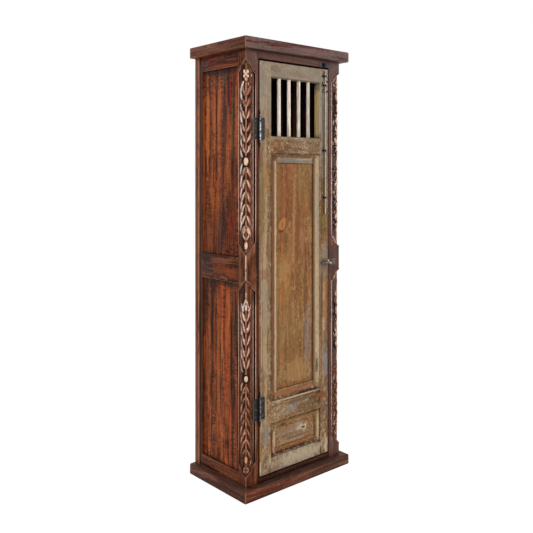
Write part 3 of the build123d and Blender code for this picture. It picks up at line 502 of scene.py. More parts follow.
def worn_paint_effect():
    """Old paint in two coats over bare wood, scuffed and flecked: colour, roughness and height."""
    n, given, out = new_effect(
        "worn_paint",
        {
            "Place": PLACE, "Board": 0.0,
            "Coat": WHITE, "Pale": WHITE, "Under": WHITE, "Wood": WHITE, "Cream": WHITE, "Dark": WHITE,
            "Pale Share": 0.4, "Under Share": 0.4, "Chip Share": 0.4, "Fleck Share": 0.5,
            "Wear": 0.7, "Edge Reach": 0.004, "Dirt Reach": 0.02,
        },
        "Colour", "Roughness", "Height",
    )
    place, board = given["Place"], given["Board"]
    grain = n.effect("wood_grain", place=place, board=board, scale=1.0)
    long_place = n.drawn_out(place, 0.38)
    cloud = n.noise(long_place, 15.0, 6.0, 0.66, 0.4)
    pale = n.times(n.remap(cloud, 0.44, 0.62), given["Pale Share"])
    colour = n.mix(pale, given["Coat"], given["Pale"])
    second = n.noise(n.vector("ADD", long_place, (4.1, 0.3, 2.2)), 22.0, 6.0, 0.70, 0.3)
    under = n.times(n.remap(second, 0.49, 0.60), given["Under Share"])
    colour = n.mix(under, colour, given["Under"])
    streak = n.remap(grain["Streaks"], 0.32, 0.68, 0.62, 1.28)
    fibre = n.remap(grain["Fibres"], 0.28, 0.72, 0.78, 1.20)
    speck = n.remap(n.noise(n.drawn_out(place, 0.6), 190.0, 4.0, 0.75), 0.36, 0.64, 0.68, 1.30)
    tone = n.times(streak, fibre, speck)
    colour = n.toned(colour, tone)
    edge = n.effect("worn_edges", place=place, reach=given["Edge Reach"], break_up=0.7)["Edge"]
    edge = n.times(edge, given["Wear"])
    chips = n.effect("paint_chips", place=place, amount=given["Chip Share"], edge=edge)
    dirty_wood = n.mix(0.5, given["Wood"], given["Dark"])
    wood = n.mix(n.remap(grain["Streaks"], 0.35, 0.65), given["Wood"], dirty_wood)
    colour = n.mix(n.times(chips["Bare"], 0.85), colour, wood)
    colour = n.mix(n.times(chips["Rim"], 0.50), colour, given["Cream"])
    fleck_place = n.drawn_out(place, 0.55)
    crowd = n.remap(n.noise(place, 8.0, 3.0, 0.6), 0.36, 0.62, 0.25, 1.0)
    crowd = n.times(crowd, given["Fleck Share"])
    worn_through = n.remap(n.noise(fleck_place, 100.0, 6.0, 0.74, 0.4), 0.545, 0.61)
    colour = n.mix(n.times(worn_through, crowd), colour, n.mix(0.45, given["Wood"], given["Dark"]))
    blotch = n.noise(n.vector("ADD", fleck_place, (5.3, 2.2, 0.7)), 38.0, 6.0, 0.72, 0.5)
    blotch = n.times(n.remap(blotch, 0.51, 0.59), crowd, 0.60)
    colour = n.mix(blotch, colour, n.mix(0.30, given["Wood"], given["Dark"]))
    light_fleck = n.flecks(fleck_place, (1.7, 0.9, 5.1), 130.0, 0.76, 0.4, 0.57)
    colour = n.mix(n.times(light_fleck, crowd, 0.65), colour, given["Cream"])
    cracks = n.cells(n.drawn_out(place, 0.22), 110.0, "DISTANCE_TO_EDGE")
    crack = n.times(n.remap(cracks.outputs["Distance"], 0.06, 0.015), n.remap(cloud, 0.38, 0.56, 0.60, 0.0))
    colour = n.mix(crack, colour, given["Dark"])
    # Dirt and painted shade in corners and hollows.
    dirt_and_shade = n.effect("hollow_dirt_and_shade", place=place, reach=given["Dirt Reach"])["Dirt"]
    colour = n.mix(n.times(dirt_and_shade, 0.85), colour, given["Dark"])
    colour = n.mix(n.times(edge, 0.55), colour, given["Cream"])
    n.put(out["Colour"], colour)
    rough = n.plus(n.remap(cloud, 0.3, 0.7, 0.50, 0.66), n.times(chips["Bare"], 0.1))
    n.put(out["Roughness"], rough)
    height = n.times(n.plus(grain["Streaks"], n.times(speck, 0.4)), 0.5)
    height = n.minus(height, n.times(n.plus(chips["Bare"], worn_through), 0.4))
    n.put(out["Height"], n.minus(height, crack))


# ---------------------------------------------------------------- finishes
GRAIN_TURN = {"X": (0.0, radians(90), 0.0), "Y": (radians(90), 0.0, 0.0), "Z": (0.0, 0.0, 0.0)}


def empty_nodes(owner):
    """The nodes of a material or a world, with none in them yet."""
    owner.use_nodes = True
    owner.node_tree.nodes.clear()
    return Nodes(owner.node_tree)


def new_finish(name):
    """An empty material: (the material, its nodes, its Principled shader)."""
    material = bpy.data.materials.new(name)
    n = empty_nodes(material)
    shader = n.make("BsdfPrincipled")
    output = n.make("OutputMaterial")
    n.put(output.inputs["Surface"], shader.outputs["BSDF"])
    return material, n, shader


def surface(n, shader, colour, roughness, height, depth, gloss=0.10):
    shader.inputs["Specular IOR Level"].default_value = gloss
    n.put(shader.inputs["Base Color"], colour)
    n.put(shader.inputs["Roughness"], roughness)
    bump = n.make("Bump")
    bump.inputs["Strength"].default_value = 0.7
    bump.inputs["Distance"].default_value = depth
    n.put(bump.inputs["Height"], height)
    n.put(shader.inputs["Normal"], bump.outputs["Normal"])


def turned_place(n, grain):
    """The place on the piece in metres, as it is and turned so that the grain lies along Z."""
    place = n.make("TexCoord").outputs["Object"]
    turn = n.make("Mapping")
    turn.inputs["Rotation"].default_value = GRAIN_TURN[grain]
    n.put(turn.inputs["Vector"], place)
    return place, turn.outputs["Vector"]


def patch(n, place, centre, half, rag):
    """How strongly one ragged patch covers a place."""
    return n.effect("ragged_patch", place=place, centre=centre, half_size=half, rag=rag)["Patch"]


def wood_finish(name, grain, body, warm, after=None, **values):
    """A material of stained old timber. after may change its colour before it is used."""
    wood = bpy.context.scene.trastero_wood
    material, n, shader = new_finish(name)
    place, turned = turned_place(n, grain)
    given = dict(
        place=turned, board=n.attribute("board"), body=linear(body), warm=linear(warm),
        deep=linear(wood.deep), red=linear(wood.red), moss=linear(wood.moss), worn=linear(wood.worn),
    )
    timber = n.effect("aged_wood", **(given | values))
    colour = timber["Colour"]
    if after:
        colour = after(n, place, colour)
    surface(n, shader, colour, timber["Roughness"], timber["Height"], 0.0012)
    return material


def paint_finish(name, grain, coat, after, **values):
    """A material of worn paint. after changes its colour before it is used."""
    paint = bpy.context.scene.trastero_paint
    material, n, shader = new_finish(name)
    place, turned = turned_place(n, grain)
    given = dict(
        place=turned, board=n.attribute("board"), coat=linear(coat), under=linear(paint.olive),
        pale=linear(paint.pale), wood=linear(paint.gold), cream=linear(paint.cream), dark=linear(paint.dark),
    )
    painted = n.effect("worn_paint", fleck_share=low_is_worse(n, place), **(given | values))
    colour = after(n, place, painted["Colour"])
    surface(n, shader, colour, painted["Roughness"], painted["Height"], 0.0010)
    return material


# ---------------------------------------------------------------- pieces from the frame
def islands(bm):
    """The faces of each separate solid in a mesh."""
    left = set(bm.faces)
    found = []
    while left:
        reach = [left.pop()]
        piece = []
        while reach:
            face = reach.pop()
            piece.append(face)
            for edge in face.edges:
                for other in edge.link_faces:
                    if other in left:
                        left.remove(other)
                        reach.append(other)
        found.append(piece)
    return found


def number_boards(bm, name):
    """Gives each separate solid its own number, from which its tone and grain follow."""
    layer = bm.faces.layers.float.new("board")
    draw = random.Random(name)

    def lowest_face(faces):
        return min(tuple(round(c, 5) for c in face.calc_center_median()) for face in faces)

    for piece in sorted(islands(bm), key=lowest_face):
        number = draw.random()
        for face in piece:
            face[layer] = number


def place_piece(bm, name, body, material, smooth_angle=35.0):
    """Turns a finished mesh into a piece that rides on a body and wears a finish."""
    mesh = bpy.data.meshes.new(name)
    for face in bm.faces:
        face.smooth = True
    bm.to_mesh(mesh)
    bm.free()
    mesh.set_sharp_from_angle(angle=radians(smooth_angle))
    mesh.materials.append(material)
    piece = bpy.data.objects.new(name, mesh)
    bpy.context.scene.collection.objects.link(piece)
    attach(piece, body)
    return piece


def softened(node, edge_round, body, material, shortest=0.02, smooth_angle=35.0, change=None):
    """Stands in for a frame node, with its edges over the shortest length rounded and its boards numbered."""
    bm = bmesh.new()
    bm.from_mesh(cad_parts[node].data)
    bmesh.ops.remove_doubles(bm, verts=bm.verts, dist=SAME_POINT)
    bmesh.ops.dissolve_limit(bm, angle_limit=FLAT, verts=bm.verts, edges=bm.edges)
    if change:
        change(bm)
    long_edges = [
        edge for edge in bm.edges
        if edge.is_manifold and edge.is_convex and edge.calc_length() > shortest
        and edge.calc_face_angle(0.0) > EDGE
    ]
    bmesh.ops.bevel(
        bm, geom=long_edges, offset=edge_round, offset_type="OFFSET", segments=2, profile=0.5,
        affect="EDGES", clamp_overlap=True, material=-1,
    )
    number_boards(bm, node)
    piece = place_piece(bm, "aged_" + node, body, material, smooth_angle)
    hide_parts(node)
    return piece


def finish_nodes(material, *nodes):
    """Gives frame nodes that stay as they are their finish."""
    for node in nodes:
        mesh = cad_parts[node].data
        mesh.materials.clear()
        mesh.materials.append(material)


# ---------------------------------------------------------------- operators: case
class TRASTERO_OT_effects(bpy.types.Operator):
    """Builds the node groups that the finishes share"""
    bl_idname = "trastero.effects"
    bl_label = "Shared Effects"

    def execute(self, context):
        for build in (
            wood_grain_effect, saw_marks_effect, worn_edges_effect, dirt_and_shade_effect, patch_effect,
            frame_line_effect, chips_effect, pits_effect, aged_wood_effect, worn_paint_effect,
        ):
            build()
        return {"FINISHED"}


def wood_flecks(n, place, colour, amount):
    """Small dark chips and rubbed light flecks over stained wood, as thick as the amount says."""
    wood = bpy.context.scene.trastero_wood
    colour = n.lay(colour, wood.soot, n.flecks(place, (1.9, 5.4, 2.7), 105.0, 0.74, 0.3, 0.55), amount)
    return n.lay(colour, wood.worn, n.flecks(place, (7.1, 2.3, 4.9), 120.0, 0.76, 0.3, 0.58), amount * 0.7)


def slab_sheen(n, place, colour):
    """Paints a greyish sheen on the upper faces of the plinth and cornice boards."""
    wood = bpy.context.scene.trastero_wood
    upward = n.remap(n.split(n.make("NewGeometry").outputs["Normal"])[2], 0.80, 0.97)
    cloud = n.remap(n.noise(place, 22.0, 5.0, 0.62), 0.34, 0.60, 0.25, 0.95)
    colour = n.lay(colour, wood.painted_sheen, n.times(upward, cloud), 0.80, 0.72)
    return wood_flecks(n, place, colour, 0.34)


class TRASTERO_OT_slabs(bpy.types.Operator):
    """Dresses the plinth and cornice boards"""
    bl_idname = "trastero.slabs"
    bl_label = "Plinth and Cornice"

    def execute(self, context):
        wood = context.scene.trastero_wood
        for part in ("plinth", "cornice"):
            for side, grain in (("front", "X"), ("back", "X"), ("left", "Y"), ("right", "Y")):
                body, warm, red_share = wood.slab, wood.slab_warm, 0.25
                # The cornice front takes the painted sheen colour as its body and streaks: a painted sheen
                # over the whole face.
                if part == "cornice" and side == "front":
                    body, warm, red_share = wood.painted_sheen, wood.painted_sheen, 0.10
                material = wood_finish(
                    f"{part}_{side}_timber", grain, body, warm, slab_sheen, deep=linear(wood.slab_deep),
                    wear=0.42, edge_reach=0.005, red_share=red_share, moss_share=0.25, saw_share=0.45,
                )
                softened(f"{part}_{side}", 0.0025, CASE, material)
        return {"FINISHED"}


def carved_ground(n, place, colour):
    """Paints shade into the hollows of the carved fields, along their edges and beside the door, rubs the
    plain corner pale, partly as a painted highlight, and paints a greyish sheen on the upper front and on the
    right post.
    """
    wood = bpy.context.scene.trastero_wood
    x, y, z = n.split(place)
    wide = n.math("ABSOLUTE", x)
    folded = n.join(wide, y, z)
    # Painted sheen: the front face of the posts is greyed more the higher it is.
    facing = n.remap(y, POST_FRONT + 0.0020, POST_FRONT + 0.0004)
    high_up = n.times(n.remap(z, 1.10, 1.84), n.remap(n.noise(place, 30.0, 4.0), 0.3, 0.6, 0.45, 1.0))
    colour = n.lay(colour, wood.painted_sheen, n.times(facing, high_up), 0.75)
    # Painted shade on the round where it shows between the leaves: strong on the left post's side face and on
    # the right post, weak on the left post's front, less at the foot of the lower field.
    beside = n.minus(wide, ROLL_CENTRE[0])
    behind = n.plus(y, ROLL_CENTRE[1])
    away = n.math("SQRT", n.plus(n.times(beside, beside), n.times(behind, behind)))
    on_the_round = n.remap(away, ROLL_RADIUS + 0.0012, ROLL_RADIUS + 0.0004)
    front = n.remap(y, 0.012 - ROLL_CENTRE[1], 0.006 - ROLL_CENTRE[1])
    side_half = n.remap(n.plus(beside, behind), -0.004, 0.010, 0.16, 0.86)
    at_right = n.remap(x, -0.1, 0.1)
    side_half = n.most(side_half, n.times(at_right, 0.84))
    hollow_shade = n.times(on_the_round, front, side_half, n.remap(z, *FOOT_FADE, 0.40, 1.0))
    colour = n.lay(colour, wood.hollow_stain_and_shade, hollow_shade)
    for spot in ((0.2370, -0.160, 1.790), (0.2500, -0.160, 1.769), (0.2835, -0.133, 1.764)):
        pit = patch(n, folded, spot, (0.006, 0.012, 0.006), 0.4)
        colour = n.lay(colour, wood.hollow_stain_and_shade, pit, dim=0.4)
    # Painted shade in a ring round the raised bead in the middle of each field.
    for plan in GARLANDS.values():
        middle, _, half_tall = plan["bead"]
        moat_shade = patch(n, folded, (0.2735, -0.155, middle), (0.017, 0.017, half_tall + 0.008), 0.2)
        colour = n.lay(colour, wood.hollow_stain_and_shade, moat_shade, 0.9, 0.6)
    # Painted shade along the step where the sunk ground meets the post's front face.
    wall_shade = n.times(
        n.remap(wide, FIELD_EDGE + 0.0047, FIELD_EDGE + 0.0035),
        n.remap(wide, FIELD_EDGE - 0.0015, FIELD_EDGE - 0.0003),
        n.remap(y, POST_FRONT, POST_FRONT + 0.0005), n.remap(z, *FOOT_FADE, 0.20, 0.80),
    )
    colour = n.lay(colour, wood.hollow_stain_and_shade, wall_shade)
    # Painted shadow of the gap between the post and the door, along the post's inner edge.
    bow = n.least(n.remap(z, 0.46, 0.54, -0.0040, 0.0018), n.remap(z, 1.48, 1.40, -0.0040, 0.0018))
    door_gap_shadow = n.apart(n.minus(wide, POST_INNER), bow)
    door_gap_shadow = n.times(
        n.remap(door_gap_shadow, 0.0034, 0.0018), n.remap(y, POST_FRONT + 0.0050, POST_FRONT + 0.0015)
    )
    colour = n.lay(colour, wood.hollow_stain_and_shade, door_gap_shadow, 0.85, 0.7)
    # The plain corner is rubbed pale, partly wear and partly a painted highlight, most on the middle block.
    from_corner = n.most(n.minus(POST_CORNER[0], wide), n.plus(y, POST_CORNER[1]))
    rub = n.remap(n.noise(place, 34.0, 4.0, 0.6), 0.30, 0.48)
    corner = n.times(n.remap(from_corner, 0.0046, 0.0016), rub)
    below, above = FIELDS["lower"][1], FIELDS["upper"][0]
    middle_block = n.times(n.remap(z, below - 0.017, below + 0.003), n.remap(z, above + 0.015, above - 0.005))
    stain = n.times(middle_block, n.remap(at_right, 0.0, 1.0, 0.24, 0.72))
    colour = n.lay(colour, wood.deep, stain)
    corner = n.times(corner, n.remap(middle_block, 0.0, 1.0, 0.12, 0.85))
    colour = n.lay(colour, wood.ridge, corner)
    # Painted sheen: the right post is greyed all over.
    colour = n.lay(colour, wood.painted_sheen, at_right, 0.40)
    return wood_flecks(n, place, colour, 0.48)


class TRASTERO_OT_posts(bpy.types.Operator):
    """Dresses the corner posts"""
    bl_idname = "trastero.posts"
    bl_label = "Posts"

    def execute(self, context):
        wood = context.scene.trastero_wood
        post = wood_finish(
            "post_timber", "Z", wood.rail, wood.rail_warm, carved_ground,
            wear=0.35, edge_reach=0.003, red_share=0.35, moss_share=0.15, saw_share=0.25,
        )
        for side in ("left", "right"):
            softened(f"front_post_{side}", wood.edge_round, CASE, post, 0.03)
        return {"FINISHED"}


# In every table of marks, a mark is (distance from the middle, to the back on a side and to the right on
# the front, height, half width, half height, raggedness, colour, strength), with its sizes in millimetres.
SIDE_RAIL_STAINS = (  # soot on the middle rail and under the cornice
    (120, 990, 50, 30, 0.6, "soot", 0.85),
    (30, 1002, 130, 10, 0.9, "soot", 0.8),
    (0, 945, 70, 22, 0.9, "side", 0.5),
    (-60, 935, 40, 26, 0.9, "side", 0.5),
    (140, 1850, 20, 40, 0.7, "soot", 0.6),
)
SIDE_BOARD_STAINS = (  # streaks down the side boards
    (148, 1400, 7, 420, 0.4, "side_warm", 0.85),
    (118, 1560, 14, 240, 0.9, "side_warm", 0.82),
    (88, 1480, 18, 260, 0.9, "side_warm", 0.2),
    (64, 1620, 8, 150, 0.8, "side_warm", 0.7),
    (54, 1420, 6, 380, 0.5, "soot", 0.55),
    (33, 1560, 12, 240, 0.9, "side_warm", 0.7),
    (46, 1230, 14, 140, 0.9, "side_warm", 0.6),
    (0, 1775, 6, 45, 0.6, "moss", 0.9),
    (-6, 1560, 16, 160, 0.9, "soot", 0.55),
    (-46, 1690, 5, 75, 0.6, "red", 0.9),
    (-40, 1560, 10, 110, 0.9, "side_warm", 0.45),
    (-64, 1560, 8, 160, 0.6, "moss", 0.75),
    (-68, 1480, 6, 200, 0.6, "soot", 0.65),
    (-92, 1600, 12, 200, 0.9, "side_warm", 0.55),
    # Painted shadow along the boards under the top rail.
    (0, 1812, 160, 22, 0.9, "soot", 0.8),
    (-60, 1140, 40, 80, 1.2, "red", 0.22),
    (10, 1100, 50, 120, 0.9, "soot", 0.35),
    (135, 780, 14, 180, 0.8, "soot", 0.45),
    (138, 400, 12, 360, 0.8, "soot", 0.35),
    (108, 480, 12, 360, 0.9, "side_warm", 0.4),
    (92, 866, 12, 20, 0.5, "soot", 0.95),
    (79, 670, 12, 16, 0.7, "soot", 0.8),
    (78, 600, 10, 240, 0.9, "soot", 0.4),
    (42, 500, 8, 400, 0.7, "side_warm", 0.6),
    (32, 480, 3, 380, 0.7, "worn", 0.45),
    (-20, 500, 24, 300, 0.9, "side_warm", 0.35),
    (-62, 480, 14, 360, 0.6, "soot", 0.55),
    # A dark band along the boards just under the middle rail.
    (0, 886, 160, 16, 0.9, "soot", 0.7),
)


def side_timber(name, grain, after):
    """The stained timber of the side frames."""
    wood = bpy.context.scene.trastero_wood
    return wood_finish(
        name, grain, wood.rail, wood.rail_warm, after,
        wear=0.6, edge_reach=0.004, red_share=0.3, moss_share=0.2, saw_share=0.45,
    )


def lay_marks(n, place, colour, shades, marks, face=None):
    """Lays ragged patches on the front at the depth of a face or, without one, on both sides of the case."""
    for across, z, wide, tall, rag, shade, strength in marks:
        if face is None:
            centre, half = (0.0, across * MM, z * MM), (1.0, wide * MM, tall * MM)
        else:
            centre, half = (across * MM, face, z * MM), (wide * MM, MARK_DEPTH, tall * MM)
        colour = n.lay(colour, getattr(shades, shade), patch(n, place, centre, half, rag), strength)
    return colour


LIT_FROM = (1.45, 1.50)  # heights over which the faint light inside sets in


def unlit(n, place, colour, inward, strength, strip):
    """Darkens the faces that look into the cabinet, but for a strip faintly lit beside the window."""
    wood = bpy.context.scene.trastero_wood
    colour = n.lay(colour, wood.inner, inward, strength, 0.32)
    lit = n.times(inward, strip, n.remap(n.split(place)[2], *LIT_FROM))
    return n.lay(colour, wood.rail_warm, lit, dim=0.8)


def dark_inside(n, place, colour):
    """Leaves the faces that look in from a side of the case unlit."""
    x, y, _ = n.split(place)
    outward = n.times(n.split(n.make("NewGeometry").outputs["True Normal"])[0], n.math("SIGN", x))
    strip = n.remap(n.apart(y, 0.113), 0.018, 0.012)
    return unlit(n, place, colour, n.remap(outward, -0.5, -0.9), 0.975, strip)


def back_post_marks(n, place, colour):
    """A pale rubbed line and a dark one along the inner edge of each back post."""
    wood = bpy.context.scene.trastero_wood
    y = n.split(place)[1]
    rub = n.remap(n.noise(n.drawn_out(place, 0.4), 60.0, 4.0, 0.65), 0.36, 0.54)
    warm = n.remap(n.noise(n.drawn_out(place, 0.3), 30.0, 4.0, 0.6), 0.42, 0.60, 0.15, 0.60)
    colour = n.lay(colour, wood.rail_warm, warm)
    colour = n.lay(colour, wood.worn, n.times(n.remap(n.apart(y, 0.1735), 0.0032, 0.0016), rub), 0.80)
    colour = n.lay(colour, wood.deep, n.remap(n.apart(y, 0.1575), 0.0066, 0.0044), 0.92, 0.4)
    return dark_inside(n, place, colour)


def side_rail_marks(n, place, colour):
    """Flecks, and soot along the top of the middle rail and under the cornice."""
    wood = bpy.context.scene.trastero_wood
    colour = wood_flecks(n, place, colour, 0.40)
    return lay_marks(n, place, colour, wood, SIDE_RAIL_STAINS)


def side_board_marks(n, place, colour):
    """Streaks, saw marks and flecks on the side boards, painted shadow under their top rail, and shade on
    their inner faces.
    """
    wood = bpy.context.scene.trastero_wood
    colour = lay_marks(n, place, colour, wood, SIDE_BOARD_STAINS)
    marks = n.effect("saw_marks", place=n.vector("ADD", place, (0.0, 0.0, 5.2)))["Marks"]
    colour = n.lay(colour, wood.deep, marks, 0.56, 1.2)
    colour = wood_flecks(n, place, colour, 0.30)
    return dark_inside(n, place, colour)


EASED_TO = 0.1655  # how far back the chamfer of a back post reaches
RAIL_FACE = 0.2816  # the plane that it comes down to, from the middle of the case


def ease_back_post(bm):
    """Chamfers the inner edge of a back post's outer face down to the plane of the rails."""
    whole = bm.verts[:] + bm.edges[:] + bm.faces[:]
    bmesh.ops.bisect_plane(bm, geom=whole, plane_co=(0.0, EASED_TO, 0.0), plane_no=(0.0, 1.0, 0.0))
    for vert in bm.verts:
        if vert.co.y < EASED_TO - 0.0003 and abs(vert.co.x) > POST_CORNER[0] - 0.0005:
            vert.co.x *= RAIL_FACE / abs(vert.co.x)


class TRASTERO_OT_sides(bpy.types.Operator):
    """Dresses the side frames and their boards"""
    bl_idname = "trastero.sides"
    bl_label = "Sides"

    def execute(self, context):
        wood = context.scene.trastero_wood
        rail = side_timber("side_rail_timber", "Y", side_rail_marks)
        post = side_timber("back_post_timber", "Z", back_post_marks)
        board = wood_finish(
            "side_board_timber", "Z", wood.side, wood.side_warm, side_board_marks,
            wear=0.5, edge_reach=0.003, red_share=0.35, moss_share=0.25, saw_share=1.0, dirt_reach=0.036,
        )
        for side in ("left", "right"):
            softened(f"back_post_{side}", wood.edge_round, CASE, post, change=ease_back_post)
            for level in ("top", "mid", "bottom"):
                softened(f"{side}_{level}_rail", wood.edge_round, CASE, rail)
            for level in ("upper", "lower"):
                softened(f"{side}_{level}_boards", 0.0010, CASE, board)
        return {"FINISHED"}


def shaded_rail(n, place, colour):
    """Paints a greyish sheen on the rail over the door, darkens the one under it and flecks both."""
    wood = bpy.context.scene.trastero_wood
    z = n.split(place)[2]
    colour = n.lay(colour, wood.deep, n.remap(z, 0.10, 0.09, 0.0, 0.72))
    colour = n.lay(colour, wood.painted_sheen, n.remap(z, 1.8, 1.81, 0.0, 0.40))
    return wood_flecks(n, place, colour, 0.36)


class TRASTERO_OT_rails(bpy.types.Operator):
    """Dresses the rails above and below the door"""
    bl_idname = "trastero.rails"
    bl_label = "Front Rails"

    def execute(self, context):
        wood = context.scene.trastero_wood
        rail = wood_finish(
            "front_rail_timber", "X", wood.rail, wood.rail_warm, shaded_rail,
            wear=0.3, edge_reach=0.004, red_share=0.3, moss_share=0.2, saw_share=0.3,
        )
        for node in ("header_rail", "threshold_rail"):
            softened(node, wood.edge_round, CASE, rail)
        return {"FINISHED"}


def meet_boards(bm):
    """Widens the back boards by half their gap, so that neighbours meet in a groove."""
    ends = min(vert.co.x for vert in bm.verts), max(vert.co.x for vert in bm.verts)
    for piece in islands(bm):
        verts = {vert for face in piece for vert in face.verts}
        low, high = min(vert.co.x for vert in verts), max(vert.co.x for vert in verts)
        for vert in verts:
            if vert.co.x - low < BOARD_GAP and low - ends[0] > BOARD_GAP:
                vert.co.x -= BOARD_GAP / 2
            elif high - vert.co.x < BOARD_GAP and ends[1] - high > BOARD_GAP:
                vert.co.x += BOARD_GAP / 2


def unlit_back(n, place, colour):
    """Leaves the inner faces of the back boards unlit."""
    forward = n.split(n.make("NewGeometry").outputs["True Normal"])[1]
    strip = n.remap(n.split(place)[0], 0.214, 0.222)
    return unlit(n, place, colour, n.remap(forward, -0.5, -0.9), 0.95, strip)


class TRASTERO_OT_inside(bpy.types.Operator):
    """Finishes the boards, shelves and cleats inside and behind"""
    bl_idname = "trastero.inside"
    bl_label = "Inside and Back"

    def execute(self, context):
        wood = context.scene.trastero_wood
        upright = wood_finish(
            "inner_timber_upright", "Z", wood.inner, wood.inner_warm, unlit_back,
            wear=0.4, red_share=0.05, moss_share=0.3, saw_share=0.9,
        )
        level = wood_finish(
            "inner_timber_level", "X", wood.inner, wood.inner_warm,
            wear=0.4, red_share=0.05, moss_share=0.3, saw_share=0.7,
        )
        softened("back_boards", 0.0010, CASE, upright, change=meet_boards)
        for node in (
            "top_boards", "floor_boards", "back_top_rail", "back_bottom_rail",
            "shelf_lower", "shelf_middle", "shelf_upper",
        ):
            softened(node, 0.0010, CASE, level)
        finish_nodes(level, "shelf_cleats")
        finish_nodes(upright, "door_stop", "post_dowels")
        return {"FINISHED"}


# ---------------------------------------------------------------- operators: door
DOOR_FACE = -0.165  # depths at which the marks on the frame and on the panels lie
PANEL_FACE = -0.155
OPENINGS = {  # (lowest corner, highest corner) of each panel's opening in the door frame
    "tall": ((-0.141, 0.0, 0.380), (0.155, 0.0, 1.445)),
    "small": ((-0.141, 0.0, 0.141), (0.155, 0.0, 0.283)),
}
WINDOW = ((-0.141, 0.0, 1.522), (0.155, 0.0, 1.776))
# The dark along the door's edges is painted shadow in the gaps beside the posts and at the foot.
HINGE_EDGE = (-0.2068, -0.2080)  # where the dark along each edge of the door starts and where it is full
LATCH_EDGE = (0.2045, 0.2070)
FOOT_EDGE = (0.0760, 0.0735)
DOOR_MARKS = (  # patches on the door's frame
    (0, 1740, 320, 220, 0.25, "pale", 0.64),
    (188, 1760, 26, 90, 0.7, "cream", 0.55),
    (-115, 1812, 34, 16, 0.9, "umber", 0.34),
    (20, 1800, 90, 10, 1, "umber", 0.26),
    (130, 1792, 40, 12, 1, "slate", 0.3),
    (-180, 1600, 18, 60, 1, "gold", 0.22),
    (-172, 1530, 20, 40, 1, "umber", 0.35),
    (186, 1650, 30, 180, 0.6, "pale", 0.66),
    (172, 1600, 10, 170, 0.8, "slate", 0.55),
    (184, 1430, 30, 90, 0.7, "pale", 0.42),
    (-192, 1330, 24, 230, 0.8, "umber", 0.34),
    (-200, 1420, 10, 50, 0.8, "umber", 0.45),
    (-172, 800, 14, 150, 0.6, "pale", 0.5),
    (-194, 460, 22, 70, 0.8, "umber", 0.42),
    (176, 1200, 18, 90, 1, "umber", 0.55),
    (172, 1110, 12, 30, 1, "dark", 0.45),
    (199, 700, 13, 520, 0.8, "umber", 0.62),
    (174, 735, 14, 50, 0.9, "umber", 0.55),
    (178, 600, 16, 40, 1, "umber", 0.45),
    (172, 520, 10, 120, 1, "gold", 0.4),
    (176, 290, 14, 60, 1.1, "umber", 0.55),
    (-110, 1486, 36, 28, 0.9, "rust", 0.45),
    (-165, 1335, 16, 70, 0.8, "gold", 0.5),
    (-195, 1200, 14, 200, 0.8, "olive", 0.5),
    (183, 1170, 24, 150, 0.7, "olive", 0.7),
    (178, 1210, 10, 40, 0.9, "rust", 0.7),
    (180, 1060, 14, 30, 0.9, "gold", 0.4),
    (184, 960, 28, 80, 1, "pale", 0.45),
    (178, 900, 14, 50, 1.1, "umber", 0.45),
    (180, 1080, 20, 30, 1.1, "umber", 0.6),
    (190, 845, 20, 30, 0.8, "gold", 0.4),
    (-175, 930, 30, 28, 0.9, "rust", 0.4),
    (190, 760, 14, 80, 0.8, "gold", 0.5),
    (190, 500, 16, 80, 0.8, "slate", 0.7),
    (-169, 232, 13, 58, 1.1, "slate", 0.62),
    (-16, 330, 40, 16, 1.1, "slate", 0.6),
    (150, 348, 30, 22, 0.9, "rust", 0.7),
    (172, 340, 18, 20, 1, "rust", 0.55),
    (110, 342, 36, 10, 1.1, "dark", 0.62),
    (146, 362, 24, 8, 1.1, "dark", 0.8),
    (152, 322, 10, 18, 1.1, "dark", 0.7),
    (30, 350, 120, 8, 1.1, "umber", 0.5),
    # Painted highlight along the top edge of the lock rail.
    (10, 374, 150, 3.6, 0.9, "cream", 0.6),
    (50, 366, 110, 3, 1, "dark", 0.75),
    (0, 296, 140, 5, 0.9, "rust", 0.45),
    (20, 124, 150, 12, 0.8, "olive", 0.5),
    (-204, 190, 5, 50, 0.8, "gold", 0.85),
    (10, 105, 190, 48, 0.6, "pale", 0.72),
    (30, 104, 150, 30, 1, "cream", 0.42),
    (161, 88, 4.2, 26, 0.2, "dark", 0.95),
    (150, 136, 14, 4.5, 0.5, "dark", 0.85),
    (-203.5, 105, 3, 34, 0.4, "cream", 0.85),
    (-148, 135, 4, 30, 0.6, "cream", 0.6),
    # Painted shade just left of the long bolt, and a painted highlight right of it.
    (174, 1520, 2, 340, 1, "dark", 0.26),
    (202, 1520, 2, 340, 1, "cream", 0.22),
    (-110, 96, 24, 20, 0.9, "rust", 0.32),
    (-150, 84, 10, 10, 0.9, "umber", 0.6),
    (195, 110, 10, 50, 0.7, "cream", 0.65),
)
